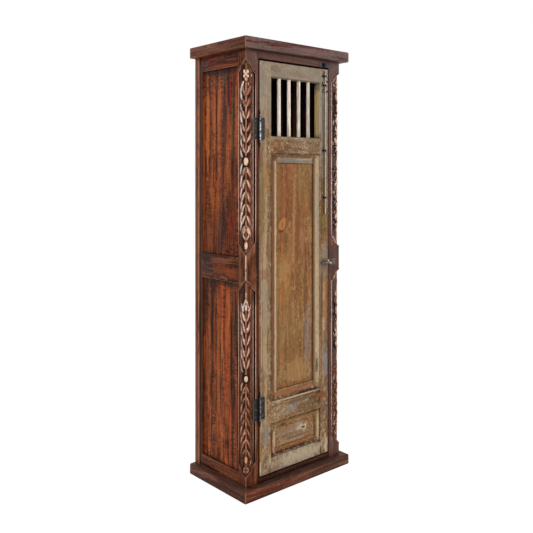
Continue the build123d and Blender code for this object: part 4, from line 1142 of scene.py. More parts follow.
PANEL_MARKS = (  # patches on the panels
    (-55, 1250, 50, 130, 0.9, "rust", 0.5),
    (40, 1080, 50, 120, 1, "rust", 0.45),
    (-70, 1060, 26, 90, 0.9, "rust", 0.35),
    (70, 1330, 50, 90, 0.9, "olive", 0.4),
    (-60, 900, 60, 140, 1, "gold", 0.38),
    (-55, 930, 34, 50, 1.3, "fleck", 0.3),
    (0, 1080, 6, 140, 1, "fleck", 0.3),
    (50, 1060, 14, 50, 1.3, "fleck", 0.22),
    (20, 1000, 12, 160, 1.2, "umber", 0.35),
    (70, 900, 10, 160, 1.2, "umber", 0.35),
    (-20, 720, 12, 180, 1.2, "umber", 0.25),
    (86, 620, 22, 150, 0.8, "slate", 0.32),
    (-20, 640, 70, 120, 0.9, "olive", 0.3),
    (0, 480, 110, 50, 0.9, "fleck", 0.32),
    (-74, 1128, 22, 24, 0.35, "rust", 0.8),
    (-59, 1150, 18, 26, 0.35, "rust", 0.8),
    (-74, 1130, 18, 19, 0.25, "gold", 0.95),
    (-67, 1138, 17, 21, 0.25, "gold", 0.95),
    (-59, 1151, 13, 19, 0.25, "gold", 0.95),
    (-68, 1138, 4, 12, 0.9, "rust", 0.8),
    (-78, 1108, 14, 5, 0.9, "dark", 0.55),
    (0, 426, 120, 8, 0.9, "rust", 0.4),
    (0, 212, 110, 45, 0.5, "gold", 0.3),
    (-10, 216, 110, 46, 1.4, "pale", 0.52),
    (-60, 236, 40, 10, 1.4, "olive", 0.45),
    (50, 226, 34, 20, 1.5, "pale", 0.55),
    (54, 222, 24, 11, 1.7, "cream", 0.66),
    (57, 220, 9, 5, 1.6, "dark", 0.9),
    (-30, 205, 50, 10, 1, "umber", 0.45),
    (20, 190, 80, 4, 1, "dark", 0.5),
)
MOULDING_MARKS = (  # patches on the mouldings
    (0, 1418, 140, 13, 0.8, "slate", 0.72),
    (60, 1424, 60, 5, 1.2, "cream", 0.45),
    (-40, 1408, 70, 4, 1.2, "umber", 0.45),
    (0, 1436, 160, 8, 0.6, "umber", 0.7),
    # Down the latch-side moulding: a painted highlight on its outer slope and painted shade on its inner
    # part.
    (144, 930, 13, 760, 0.3, "cream", 0.58),
    (146, 1180, 10, 200, 0.8, "slate", 0.35),
    (119, 930, 9.5, 760, 0.3, "umber", 0.85),
    (124, 900, 5, 700, 0.8, "olive", 0.55),
    # Down the hinge-side moulding: painted shade on its outer slope and a painted highlight along its bead.
    (-129, 930, 12.5, 760, 0.35, "umber", 0.84),
    (-133, 1000, 7, 600, 0.9, "rust", 0.5),
    (-111.2, 930, 3.6, 760, 0.3, "cream", 0.74),
    (-116, 1430, 20, 18, 0.5, "umber", 0.85),
    (0, 398, 150, 16, 0.7, "rust", 0.62),
    (20, 388, 130, 6, 0.9, "umber", 0.6),
    (-60, 408, 90, 5, 1, "gold", 0.5),
    (90, 383.5, 70, 5, 0.7, "dark", 0.9),
    # More painted highlight on the outer slope of the latch-side moulding.
    (148, 540, 12, 110, 0.8, "cream", 0.85),
    (140, 490, 6, 40, 0.9, "dark", 0.7),
    (0, 274, 160, 12, 0.8, "olive", 0.85),
    (0, 266, 130, 5, 0.9, "gold", 0.6),
    (-20, 255.5, 115, 3.5, 0.9, "rust", 0.85),
    (-70, 262, 20, 6, 1, "dark", 0.7),
    (0, 160, 160, 14, 1, "umber", 0.75),
    (-30, 151, 150, 7, 1, "rust", 0.8),
    (-20, 148, 160, 5, 0.9, "dark", 0.85),
    (20, 163, 120, 4, 1.2, "gold", 0.8),
    (120, 150, 30, 10, 1, "umber", 0.7),
    # Down the small panel's mouldings: painted highlights on the latch side's outer slope and the hinge
    # side's bead, painted shade on the latch side's inner part and the hinge side's outer slope.
    (134, 215, 10, 70, 0.7, "olive", 0.65),
    (148, 200, 7, 60, 1, "cream", 0.6),
    (129, 215, 4, 55, 0.6, "umber", 0.7),
    (-136, 205, 8, 70, 1, "dark", 0.7),
    (-120, 200, 6, 50, 1, "cream", 0.6),
)


def joint_shade(n, place, low, high, inset, width, rag):
    """A ragged line round a rectangle, some way inside it."""
    return n.effect("joint_shade_line", place=place, low=low, high=high, inset=inset, width=width, rag=rag)["Line"]


def mottled(n, place, colour, amount):
    """Dark and light flecks over everything else, as thick as the amount says."""
    paint = bpy.context.scene.trastero_paint
    place = n.drawn_out(place, 0.55)
    colour = n.lay(colour, paint.umber, n.flecks(place, (2.9, 0.4, 7.7), 95.0, 0.74, 0.4, 0.55), amount, 0.55)
    light = n.flecks(place, (6.1, 1.3, 3.9), 125.0, 0.76, 0.4, 0.56)
    return n.lay(colour, paint.fleck, n.times(light, amount), 0.7)


def door_marks(n, place, colour):
    """Patches of pale, slate, gold and rust paint on the door's frame, painted highlights and shade on the
    lock rail and beside the long bolt, dark lines round the openings that are painted shade round the panels,
    painted shadow in the gaps along the door's edges, and worm holes.
    """
    paint = bpy.context.scene.trastero_paint
    colour = lay_marks(n, place, colour, paint, DOOR_MARKS, DOOR_FACE)
    colour = mottled(n, place, colour, n.times(low_is_worse(n, place), 0.72))
    reveal = patch(n, place, (0.1545, -0.148, 1.645), (0.0024, 0.060, 0.120), 0.10)
    streaks = n.noise(n.drawn_out(place, 0.08), 150.0, 4.0, 0.7)
    ragged_top = patch(n, place, (0.1545, -0.148, 1.770), (0.010, 0.060, 0.030), 0.9)
    reveal = n.times(reveal, n.remap(streaks, 0.38, 0.58, 0.45, 1.0))
    reveal = n.times(reveal, n.remap(ragged_top, 0.0, 1.0, 1.0, 0.15))
    # Dark lines just outside the openings of the panels and the window; round the panels they are painted
    # shade in the crease where the mouldings meet the frame.
    for low, high, width, rag in (
        (OPENINGS["tall"][0], (0.1615, 0.0, 1.4465), 0.0016, 0.7),
        (*OPENINGS["small"], 0.0016, 0.9),
        (*WINDOW, 0.0006, 0.2),
    ):
        colour = n.lay(colour, paint.dark, joint_shade(n, place, low, high, -0.0016, width, rag), 0.80)
    colour = n.lay(colour, paint.reveal, reveal, 0.95)
    x, _, z = n.split(place)
    # Painted shadow in the gaps along the door's edges: on the hinge side full below and above the hinges and
    # faint between, on the latch side and along the foot.
    beyond_hinges = n.most(n.remap(z, 0.54, 0.46, 0.20, 1.0), n.remap(z, 1.38, 1.46))
    colour = n.lay(colour, paint.dark, n.times(n.remap(x, *HINGE_EDGE), beyond_hinges), dim=0.4)
    colour = n.lay(colour, paint.dark, n.most(n.remap(x, *LATCH_EDGE), n.remap(z, *FOOT_EDGE)), 0.80)
    pits = n.effect("worm_pits", place=place, scale=75.0, share=0.09)["Pits"]
    colour = n.lay(colour, paint.dark, pits, 0.85, 0.5)
    worm = patch(n, place, (0.188, DOOR_FACE, 1.775), (0.022, 0.03, 0.060), 0.5)
    holes = n.remap(n.noise(place, 72.0, 3.0, 0.6), 0.515, 0.56)
    return n.lay(colour, paint.dark, n.times(worm, holes), dim=0.3)


def low_is_worse(n, place):
    """How thickly the flecks lie: more of them towards the foot of the door and below the long bolt."""
    below_bolt = patch(n, place, (0.185, DOOR_FACE, 1.170), (0.030, 0.030, 0.150), 0.5)
    return n.most(n.remap(n.split(place)[2], 0.30, 0.75, 0.74, 0.42), below_bolt)


class TRASTERO_OT_door_frame(bpy.types.Operator):
    """Dresses the door's stiles and rails"""
    bl_idname = "trastero.door_frame"
    bl_label = "Door Frame"

    def execute(self, context):
        paint = context.scene.trastero_paint
        finishes = {
            grain: paint_finish(
                f"door_frame_paint_{grain.lower()}", grain, paint.stile, door_marks,
                pale_share=0.40, under_share=0.40, chip_share=0.30, wear=0.9, edge_reach=0.005,
            )
            for grain in "XZ"
        }
        for node in ("hinge_stile", "latch_stile"):
            softened(node, paint.edge_round, DOOR, finishes["Z"])
        for node in ("door_top_rail", "door_window_rail", "door_lock_rail", "door_bottom_rail"):
            softened(node, paint.edge_round, DOOR, finishes["X"])
        return {"FINISHED"}


def panel_marks(n, place, colour):
    """Patches on the tall panel and the small one."""
    paint = bpy.context.scene.trastero_paint
    colour = lay_marks(n, place, colour, paint, PANEL_MARKS, PANEL_FACE)
    return mottled(n, place, colour, n.remap(n.split(place)[2], 0.30, 0.45, 0.50, 0.26))


def moulding_marks(n, place, colour):
    """Slate along the top, a painted highlight along the latch side and on the bead of the hinge side with
    painted shade beside them, and dark lines of painted shade where the mouldings meet the frame and the
    panels.
    """
    paint = bpy.context.scene.trastero_paint
    colour = lay_marks(n, place, colour, paint, MOULDING_MARKS, PANEL_FACE)
    # Dark lines where each moulding meets the frame and the panel: painted shade in those creases.
    for size, inset, rag, strength in (("tall", 0.0405, 0.35, 0.85), ("small", 0.0295, 1.0, 0.42)):
        outer = joint_shade(n, place, *OPENINGS[size], 0.0, 0.0020, rag)
        inner = joint_shade(n, place, *OPENINGS[size], inset, 0.0010, rag)
        colour = n.lay(colour, paint.dark, n.most(outer, inner), strength)
    return mottled(n, place, colour, n.remap(n.split(place)[2], 0.35, 0.60, 0.55, 0.34))


class TRASTERO_OT_door_panels(bpy.types.Operator):
    """Dresses the door's panels and their mouldings"""
    bl_idname = "trastero.door_panels"
    bl_label = "Door Panels"

    def execute(self, context):
        paint = context.scene.trastero_paint
        panels = {
            size: paint_finish(
                f"{size}_panel_paint", grain, paint.panel, panel_marks,
                pale_share=0.12, under_share=0.40, chip_share=0.25, wear=0.4, dirt_reach=0.03,
                cream=linear(paint.fleck),
            )
            for size, grain in (("tall", "Z"), ("small", "X"))
        }
        moulding = paint_finish(
            "door_moulding_paint", "Z", paint.moulding, moulding_marks,
            pale_share=0.4, under_share=0.35, chip_share=0.35, wear=0.8, edge_reach=0.003, dirt_reach=0.008,
        )
        for size in ("tall", "small"):
            softened(f"{size}_panel", 0.0010, DOOR, panels[size])
            softened(f"{size}_panel_moulding", 0.0005, DOOR, moulding, 0.02, 25.0)
        return {"FINISHED"}


class TRASTERO_OT_spindles(bpy.types.Operator):
    """Finishes the window bars"""
    bl_idname = "trastero.spindles"
    bl_label = "Window Bars"

    def execute(self, context):
        paint = context.scene.trastero_paint
        bars = wood_finish(
            "window_bar_timber", "Z", paint.spindle, paint.spindle,
            deep=linear(paint.spindle_shade), red_share=0.0, moss_share=0.15, saw_share=0.1, wear=0.0,
            scale=2.0, dirt_reach=0.006,
        )
        softened("window_spindles", 0.0004, DOOR, bars, 0.5, 50.0)
        return {"FINISHED"}


# ---------------------------------------------------------------- operators: iron
BLACK_IRON = 0.35  # how metallic blackened iron and worn steel look
DULL_STEEL = 0.10


def iron_finish(name, body, patches, rust_share, bright_share, metallic, after=None):
    """A material of old iron: its skin, rust in patches and rubbed edges."""
    iron = bpy.context.scene.trastero_iron
    material, n, shader = new_finish(name)
    shader.inputs["Metallic"].default_value = metallic
    place = n.make("TexCoord").outputs["Object"]
    cloud = n.noise(place, 90.0, 5.0, 0.68)
    tone = n.remap(n.noise(place, 300.0, 4.0, 0.6), 0.3, 0.7, 0.6, 1.4)
    colour = n.toned(linear(body), tone)
    colour = n.lay(colour, patches, n.times(n.remap(cloud, 0.48, 0.60), rust_share))
    edge = n.effect("worn_edges", place=place, reach=0.0012, break_up=0.6)["Edge"]
    colour = n.lay(colour, iron.bright, n.times(edge, bright_share))
    if after:
        colour = after(n, place, colour)
    roughness = n.remap(cloud, 0.40, 0.70, 0.40, 0.65)
    surface(n, shader, colour, roughness, cloud, 0.0006, 0.30)
    return material


def knuckle_highlight(n, place, colour):
    """Paints a highlight along the most forward line of the hinge knuckles, faint on the lower hinge."""
    iron = bpy.context.scene.trastero_iron
    x, y, z = n.split(place)
    forward = n.remap(y, -0.1755, -0.1775)
    leftward = n.times(n.remap(x, -0.2165, -0.2150), n.remap(x, -0.2100, -0.2120))
    broken = n.remap(n.noise(place, 110.0, 4.0, 0.7), 0.40, 0.55)
    rubbed = n.times(forward, leftward, broken, n.remap(z, 0.9, 1.1, 0.22, 1.0))
    return n.lay(colour, iron.bright, rubbed)


class TRASTERO_OT_hinges(bpy.types.Operator):
    """Finishes the hinges and their pins"""
    bl_idname = "trastero.hinges"
    bl_label = "Hinges"

    def execute(self, context):
        iron = context.scene.trastero_iron
        material = iron_finish("hinge_iron", iron.body, iron.rust, 0.5, 0.45, BLACK_IRON, knuckle_highlight)
        for level in ("upper", "lower"):
            finish_nodes(material, f"{level}_hinge_frame_leaf", f"{level}_hinge_door_leaf")
        finish_nodes(material, "hinge_pins")
        return {"FINISHED"}


ROD_MIDDLE = 0.1820  # the long bolt's own line, from the middle of the door


def shaded_rod(n, place, colour):
    """Paints shade down both sides of the long bolt, leaving it bright only along the middle of its front."""
    iron = bpy.context.scene.trastero_iron
    off = n.apart(n.split(place)[0], ROD_MIDDLE)
    return n.lay(colour, iron.bolt_dark, n.remap(off, 0.0014, 0.0028), 0.85, 0.6)


def handled_bolt(n, place, colour):
    """Leaves the small bolt bright only at its handle."""
    iron = bpy.context.scene.trastero_iron
    x = n.split(place)[0]
    dull = n.most(n.remap(x, 0.1900, 0.1860), n.remap(x, 0.2020, 0.2050))
    return n.lay(colour, iron.rust, dull, 0.80, 0.8)


class TRASTERO_OT_bolts(bpy.types.Operator):
    """Finishes the bolts, their guides and keepers, and the small fasteners"""
    bl_idname = "trastero.bolts"
    bl_label = "Bolts and Fasteners"

    def execute(self, context):
        iron = context.scene.trastero_iron
        steel = (iron.bolt, iron.bolt_dark, 0.45, 0.9, DULL_STEEL)
        finish_nodes(iron_finish("bolt_steel", *steel, shaded_rod), "long_bolt")
        finish_nodes(iron_finish("latch_bolt_steel", *steel, handled_bolt), "latch_bolt")
        plates = iron_finish("plate_steel", iron.body, iron.rust, 0.4, 1.0, DULL_STEEL)
        finish_nodes(plates, "rod_guides")
        latch = iron_finish("latch_steel", iron.bolt_dark, iron.body, 0.7, 0.6, DULL_STEEL)
        finish_nodes(latch, "latch_base", "latch_keeper")
        black = iron_finish("fastener_iron", iron.body, iron.rust, 0.6, 0.4, BLACK_IRON)
        finish_nodes(black, "header_keeper", "case_screws", "door_screws")
        return {"FINISHED"}


# ---------------------------------------------------------------- operators: carving
POST_CORNER = (0.2835, 0.1650)  # the sharp corner, as distances from the middle of the case
POST_FRONT = -POST_CORNER[1]
POST_INNER = 0.2180  # the edge beside the door, as a distance from the middle of the case
ROLL_INSET = 0.0255
ROLL_RADIUS = 0.022
ROLL_CENTRE = (POST_CORNER[0] - ROLL_INSET, POST_CORNER[1] - ROLL_INSET)
FIELD_SINK = 0.007
ROLL_END = 1.3575  # radians from the diagonal to where the round meets the sunk ground
STOP_LENGTH = 0.054  # of the curved end of a field
FIELD_REACH = {"front": 0.052, "side": 0.043}  # from the corner, on each face
FIELD_EDGE = POST_CORNER[0] - FIELD_REACH["front"]
FIELDS = {"upper": (1.020, 1.832), "lower": (0.095, 0.912)}
FOOT_FADE = (0.43, 0.52)  # heights over which the hollows at the foot of the lower field turn dark


def on_round(side, along, up, height):
    """A point of the carved field: along the round from the corner, up the post, and above the surface.

    along is positive on the front and negative on the side of the case; past the round it runs on over
    the sunk ground.
    """
    turn = max(-ROLL_END, min(ROLL_END, along / ROLL_RADIUS))
    past = along - turn * ROLL_RADIUS
    outward = Vector((sin(pi / 4 - turn), cos(pi / 4 - turn)))
    reach = Vector(ROLL_CENTRE) + outward * ROLL_RADIUS
    if past > 0:
        reach.x -= past
        outward = Vector((0.0, 1.0))
    elif past < 0:
        reach.y += past
        outward = Vector((1.0, 0.0))
    reach += outward * height
    return Vector((side * reach.x, -reach.y, up))


def leaf_outline(u):
    """Half width of a leaf as a share of the widest, from its foot at 0 to its tip at 1."""
    return (0.46 + 0.54 * sin(pi * min(1.0, u * 1.15) * 0.8)) * (1.0 - max(0.0, u - 0.58) ** 2 * 4.6)


def raise_grid(bm, columns, rows, shape):
    """Adds a low closed solid over a grid. shape gives each point's place, relief and greyness, which is
    painted light: pale above zero, painted shade below it.

    It is asked with u from 0 to 1 along the rows, v from -1 to 1 across, and whether the point is on top.
    """
    relief = bm.verts.layers.float["relief"]
    grey = bm.verts.layers.float["grey"]
    grid = bmesh.ops.create_grid(bm, x_segments=columns, y_segments=rows, size=0.5)
    faces = list(dict.fromkeys(face for vert in grid["verts"] for face in vert.link_faces))
    raised = bmesh.ops.extrude_face_region(bm, geom=faces, use_keep_orig=True)
    tops = {item for item in raised["geom"] if isinstance(item, bmesh.types.BMVert)}
    for vert in set(grid["verts"]) | tops:
        u, v = vert.co.y + 0.5, vert.co.x * 2.0
        vert.co, vert[relief], vert[grey] = shape(u, v, vert in tops)


CUT_DEPTH = 0.0022  # how far the carved pieces reach into the post


def carve_leaf(bm, side, foot, lean, size, height, profile, bow=0.0, up=1.0, grey=0.0, glow=(1.12, -0.42)):
    """Adds one leaf, foot at (along, up the post), leaning from upright.

    profile is its relief at five points across, from the edge away from the stem to the edge beside it;
    glow is how strongly that relief is rubbed pale at the foot, and how much more at the tip; grey is painted
    light on the leaf, and painted shade below zero.
    """
    leaf_length, leaf_width = size
    inward = -1.0 if lean > 0 else 1.0

    def shape(u, v, on_top):
        across = v * leaf_width / 2 * leaf_outline(u) + bow * sin(pi * u)
        along = foot[0] + across * cos(lean) + u * leaf_length * sin(lean)
        rise = foot[1] + up * (u * leaf_length * cos(lean) - across * sin(lean))
        step = round((v * inward + 1.0) * 2)
        lift = profile[step] * min(1.0, 0.70 + u * 2.0) * (1.0 - 0.42 * u * u)
        if on_top:
            return on_round(side, along, rise, height * lift), lift * (glow[0] + glow[1] * u), grey
        return on_round(side, along, rise, -CUT_DEPTH), 0.0, grey

    raise_grid(bm, 4, 6, shape)


def carve_knob(bm, side, middle, half_size, height, glow=1.15):
    """Adds an oval bead lying on the round."""
    relief = bm.verts.layers.float["relief"]
    ball = bmesh.ops.create_uvsphere(bm, u_segments=14, v_segments=9, radius=1.0)
    for vert in ball["verts"]:
        x, y, z = vert.co
        vert[relief] = glow * max(0.0, z) ** 0.5
        vert.co = on_round(side, middle[0] + x * half_size[0], middle[1] + y * half_size[1], z * height)


LEAF_FOOT = 0.0036  # how far the foot of an inner leaf stands from the middle of the stem
# How high a leaf is at five points across, as shares of its height.
INNER = (0.62, 0.46, 0.76, 1.14, 0.50)
FLANK = (0.66, 0.92, 0.94, 0.82, 0.20)
SHY_FLANK = (0.60, 0.30, 0.62, 0.28, 0.66)
BAR = (0.50, 0.95, 1.05, 0.95, 0.50)


def carve_stem(bm, side, draw, low, high):
    """Adds the stem along the post's corner, with a slightly uneven top."""
    sizes = bpy.context.scene.trastero_garland
    rows = max(4, round((high - low) / 0.012))
    uneven = [draw.uniform(0.72, 1.08) for _ in range(rows + 1)]

    def shape(u, v, on_top):
        lift = (1.0 - 0.75 * v * v) * uneven[round(u * rows)]
        rise = low + u * (high - low)
        glow = 1.05 if rise > 1.62 or 0.80 < rise < 1.0 or rise < 0.47 else 0.80
        if on_top:
            return on_round(side, v * 0.0024, rise, sizes.stem_height * lift), lift * glow, 0.0
        return on_round(side, v * 0.0030, rise, -CUT_DEPTH), 0.0, 0.0

    raise_grid(bm, 4, rows, shape)


def carve_sprays(bm, side, draw, plan, starts, up):
    """Adds a pair of inner leaves at each start height, and flanking leaves that carry their lines on."""
    sizes = bpy.context.scene.trastero_garland
    slim, pitch = plan["slim"], plan["pitch"]
    run_on = 0.86 * sizes.leaf_length
    for start in starts:
        for hand in (-1, 1):
            rubbed = (0.74 if start > 1.62 else 1.0) * draw.uniform(0.80, 1.12)
            glow, fade = plan["rub"] if up > 0 else plan["rub_down"]
            grow = 1.0 + draw.uniform(-sizes.hand_size, sizes.hand_size)
            lean = hand * (sizes.lean * slim + draw.uniform(-sizes.hand_turn, sizes.hand_turn))
            carve_leaf(
                bm, side, (hand * LEAF_FOOT, start), lean,
                (sizes.leaf_length * grow, sizes.leaf_width * grow * slim),
                sizes.ridge_height * (1.0 + draw.uniform(-0.12, 0.12)), INNER, hand * 0.0014, up,
                # grey: the right post's inner leaves take painted shade.
                -1.0 if side > 0 else 0.0, (glow * rubbed, fade * rubbed),
            )
            grow = 1.0 + draw.uniform(-sizes.hand_size, sizes.hand_size)
            outer = hand < 0
            back = 0.010 if outer else 0.0
            foot = (
                hand * (LEAF_FOOT + (run_on - back) * sin(sizes.lean * slim) + (0.0020 if outer else 0.0)),
                start + up * ((run_on - back) * cos(sizes.lean * slim) - pitch),
            )
            lean = hand * (sizes.flank_lean * slim + draw.uniform(-sizes.hand_turn, sizes.hand_turn))
            longer, wider = (1.32, 1.22) if outer else (1.0, 1.0)
            carve_leaf(
                bm, side, foot, lean,
                (sizes.flank_length * grow * longer, sizes.flank_width * grow * slim * wider),
                sizes.flank_height * (1.0 + draw.uniform(-0.12, 0.12)), FLANK if outer else SHY_FLANK,
                hand * 0.0012, up,
                # grey: flanking leaves on the side face take painted light, as much as the plan says; those
                # on the front take painted shade, the most on the right post.
                plan["grey"] * (1.0 if up < 0 else 0.8) if outer else -1.0 if side > 0 else -0.34,
                ((0.94 if up < 0 else 0.82) * rubbed, 0.26 * rubbed),
            )


def carve_lozenge(bm, side, middle, half_height, half_width):
    """Adds an open lozenge of four bars."""
    slant = atan2(half_width, half_height)
    bar_length = sqrt(half_height ** 2 + half_width ** 2) * 1.04
    for hand in (-1, 1):
        for up in (-1, 1):
            carve_leaf(
                bm, side, (hand * half_width, middle), -hand * slant, (bar_length, 0.0062), 0.0060,
                # grey 0.3: a little painted light on the lozenge.
                BAR, hand * 0.0012, up, 0.3,
            )


def carve_ends(bm, side, plan):
    """Adds the knobs, strokes and lozenge at the two ends of a garland."""
    for middle, half_wide, half_tall, apart in plan["knobs"]:
        for hand in (-1, 1) if apart else (0,):
            carve_knob(bm, side, (hand * apart, middle), (half_wide, half_tall), 0.0068, 1.04)
    for hands, along, foot, degrees, long, wide, up in plan["strokes"]:
        for hand in hands:
            carve_leaf(
                bm, side, (hand * along, foot), hand * radians(degrees), (long, wide), 0.0056, BAR,
                # grey: strokes on the side face take painted light, those on the front a little.
                0.0, up, 0.8 if hand < 0 else 0.1, (0.96, -0.10),
            )
    carve_lozenge(bm, side, *plan["lozenge"])


# Heights are up the post in metres. A knob is (height, half width, half height, distance from the corner
# line, 0 for one knob on it); a stroke is (its hands, -1 on the side and 1 on the front, distance from the
# corner line, height of its foot, lean in degrees, length, width, 1 upwards or -1 downwards).
# In each plan, grey is how much painted light the flanking leaves on the side face take.
GARLANDS = {
    "upper": {
        "slim": 1.0, "pitch": 0.048, "grey": 0.95, "rub": (1.16, -0.38), "rub_down": (1.16, -0.30),
        "bead": (1.411, 0.0095, 0.0190), "ends": (0.56, 0.42),
        "stem": (1.128, 1.740),
        "up": (1.446, 1.490, 1.537, 1.590, 1.640, 1.688),
        "down": (1.386, 1.334, 1.283, 1.232, 1.184, 1.142),
        "knobs": (
            (1.788, 0.0056, 0.0105, 0.0060), (1.777, 0.0058, 0.0095, 0.0), (1.769, 0.0048, 0.0085, 0.0066),
            (1.756, 0.0056, 0.0100, 0.0), (1.058, 0.0070, 0.0190, 0.0),
        ),
        "lozenge": (1.104, 0.0240, 0.0112),
        "strokes": (
            ((-1,), 0.0100, 1.748, 22, 0.050, 0.0120, -1), ((1,), 0.0200, 1.766, 30, 0.020, 0.0070, 1),
            ((1,), 0.0080, 1.744, 20, 0.036, 0.0060, -1),
        ),
    },
    "lower": {
        "slim": 0.78, "pitch": 0.046, "grey": 0.45, "rub": (1.24, -0.06), "rub_down": (1.06, -0.40),
        "bead": (0.499, 0.0078, 0.0150), "ends": (0.46, 0.46),
        "stem": (0.190, 0.862),
        "up": (0.542, 0.592, 0.641, 0.692, 0.740),
        "down": (0.468, 0.424, 0.380, 0.336, 0.290, 0.246, 0.206),
        "knobs": (
            (0.798, 0.0046, 0.0160, 0.0), (0.424, 0.0026, 0.0110, 0.0), (0.357, 0.0026, 0.0110, 0.0),
            (0.312, 0.0026, 0.0100, 0.0), (0.246, 0.0022, 0.0170, 0.0), (0.160, 0.0060, 0.0180, 0.0),
        ),
        "lozenge": (0.118, 0.0150, 0.0090),
        "strokes": (
            ((-1, 1), 0.0010, 0.832, 15, 0.056, 0.0064, -1), ((-1, 1), 0.0110, 0.782, 16, 0.034, 0.0060, 1),
            ((1,), 0.0150, 0.140, 20, 0.024, 0.0064, 1),
        ),
    },
}


def ogee_rise(from_corner):
    """How far the end of a carved field lies from its point, at a distance from the corner on a face."""
    bend = STOP_LENGTH
    deep = (FIELD_REACH["front"] + FIELD_SINK) / sqrt(2)
    slant = min(from_corner / sqrt(2), deep)
    half = sqrt((deep / 2) ** 2 + (bend / 2) ** 2) / 2
    off = sqrt(bend ** 2 - half ** 2) / (2 * half)
    centre = (deep / 4 - off * bend / 2, bend / 4 + off * deep / 2)

    def arc(value):
        return centre[1] - sqrt(bend ** 2 - (value - centre[0]) ** 2)

    return arc(slant) if slant < deep / 2 else bend - arc(deep - slant)


END_STEPS = 12  # points on each curved end of a field


def field_edge(low, high, reach, aside):
    """Points (from the corner, up the post) along the edge of a carved field, moved outwards, end to end."""
    ends = [(reach * i / END_STEPS, ogee_rise(reach * i / END_STEPS)) for i in range(END_STEPS + 1)]
    rise = high - low - 2 * ends[-1][1]
    straight = [(reach, ends[-1][1] + rise * i / 10) for i in range(1, 10)]
    line = [(a, low + b) for a, b in ends] + [(a, low + b) for a, b in straight]
    line += [(a, high - b) for a, b in reversed(ends)]
    moved = []
    for i, point in enumerate(line):
        before = Vector(line[max(0, i - 1)])
        after = Vector(line[min(len(line) - 1, i + 1)])
        run = (after - before).normalized()
        moved.append(Vector(point) + Vector((run.y, -run.x)) * aside)
    return moved


def carve_edge_bead(bm, side, face, low, high, inside, relief_top, ends):
    """Adds a bead along the edge of a carved field: inside it, or outside it where inside is negative.

    ends is how much of its rubbed brightness is left round the lower end of the field and the upper one.
    """
    sizes = bpy.context.scene.trastero_garland
    line = field_edge(low, high, FIELD_REACH[face], -inside)
    rows = len(line) - 1
    hand = 1.0 if face == "front" else -1.0
    ground_start = ROLL_END * ROLL_RADIUS
    flat_start = ROLL_INSET + ROLL_RADIUS * sin(ROLL_END - pi / 4)

    def shape(u, v, on_top):
        step = round(u * rows)
        before, after = line[max(0, step - 1)], line[min(rows, step + 1)]
        run = (after - before).normalized()
        spot = line[step] + Vector((run.y, -run.x)) * v * sizes.bead_half_width
        from_corner = max(0.0002, spot.x)
        above = sizes.bead_height * sqrt(max(0.0, 1.0 - v * v)) + 0.0002 if on_top else -CUT_DEPTH
        if inside > 0:
            along = from_corner * ground_start / flat_start
            if from_corner > flat_start:
                along = ground_start + from_corner - flat_start
            place = on_round(side, hand * along, spot.y, above)
        elif face == "front":
            place = Vector((side * (POST_CORNER[0] - from_corner), POST_FRONT - above, spot.y))
        else:
            place = Vector((side * (POST_CORNER[0] + above), POST_FRONT + from_corner, spot.y))
        dim = ends[0] if step <= END_STEPS else ends[1] if step >= rows - END_STEPS else 1.0
        # grey: the right post's beads take a little painted light.
        return place, dim * relief_top * (1.0 - v * v) if on_top else 0.0, 0.3 if side > 0 else 0.0

    raise_grid(bm, 4, rows, shape)


FIELD_BEADS = (  # (face, how far inside the field's edge, how strongly its top is rubbed)
    ("front", -0.0010, 0.97), ("front", 0.0078, 0.97), ("side", -0.0012, 0.98), ("side", 0.0040, 0.80),
)


class TRASTERO_OT_garlands(bpy.types.Operator):
    """Carves the leaf garlands on the front posts"""
    bl_idname = "trastero.garlands"
    bl_label = "Garlands"

    def execute(self, context):
        material = garland_finish()
        seed = context.scene.trastero_garland.seed
        for side, side_name in ((-1, "left"), (1, "right")):
            for level, plan in GARLANDS.items():
                draw = random.Random(f"{seed}{side_name}{level}")
                low, high = FIELDS[level]
                bm = new_carving()
                middle, half_wide, half_tall = plan["bead"]
                carve_knob(bm, side, (0.0, middle), (half_wide, half_tall), 0.0072)
                carve_stem(bm, side, draw, middle + half_tall + 0.005, plan["stem"][1])
                carve_stem(bm, side, draw, plan["stem"][0], middle - half_tall - 0.005)
                carve_sprays(bm, side, draw, plan, plan["up"], 1.0)
                carve_sprays(bm, side, draw, plan, plan["down"], -1.0)
                carve_ends(bm, side, plan)
                bmesh.ops.recalc_face_normals(bm, faces=bm.faces)
                place_piece(bm, f"garland_{side_name}_{level}", CASE, material, 60.0)
                edge = new_carving()
                dull = 0.74 if side > 0 else 1.0
                for face, inside, relief_top in FIELD_BEADS:
                    carve_edge_bead(edge, side, face, low, high, inside, relief_top * dull, plan["ends"])
                bmesh.ops.recalc_face_normals(edge, faces=edge.faces)
                place_piece(edge, f"field_bead_{side_name}_{level}", CASE, material, 60.0)
        return {"FINISHED"}


def new_carving():
    """An empty mesh whose points carry how high the carving is and how grey, the greyness being painted
    light, and painted shade below zero.
    """
    bm = bmesh.new()
    bm.verts.layers.float.new("relief")
    bm.verts.layers.float.new("grey")
    return bm


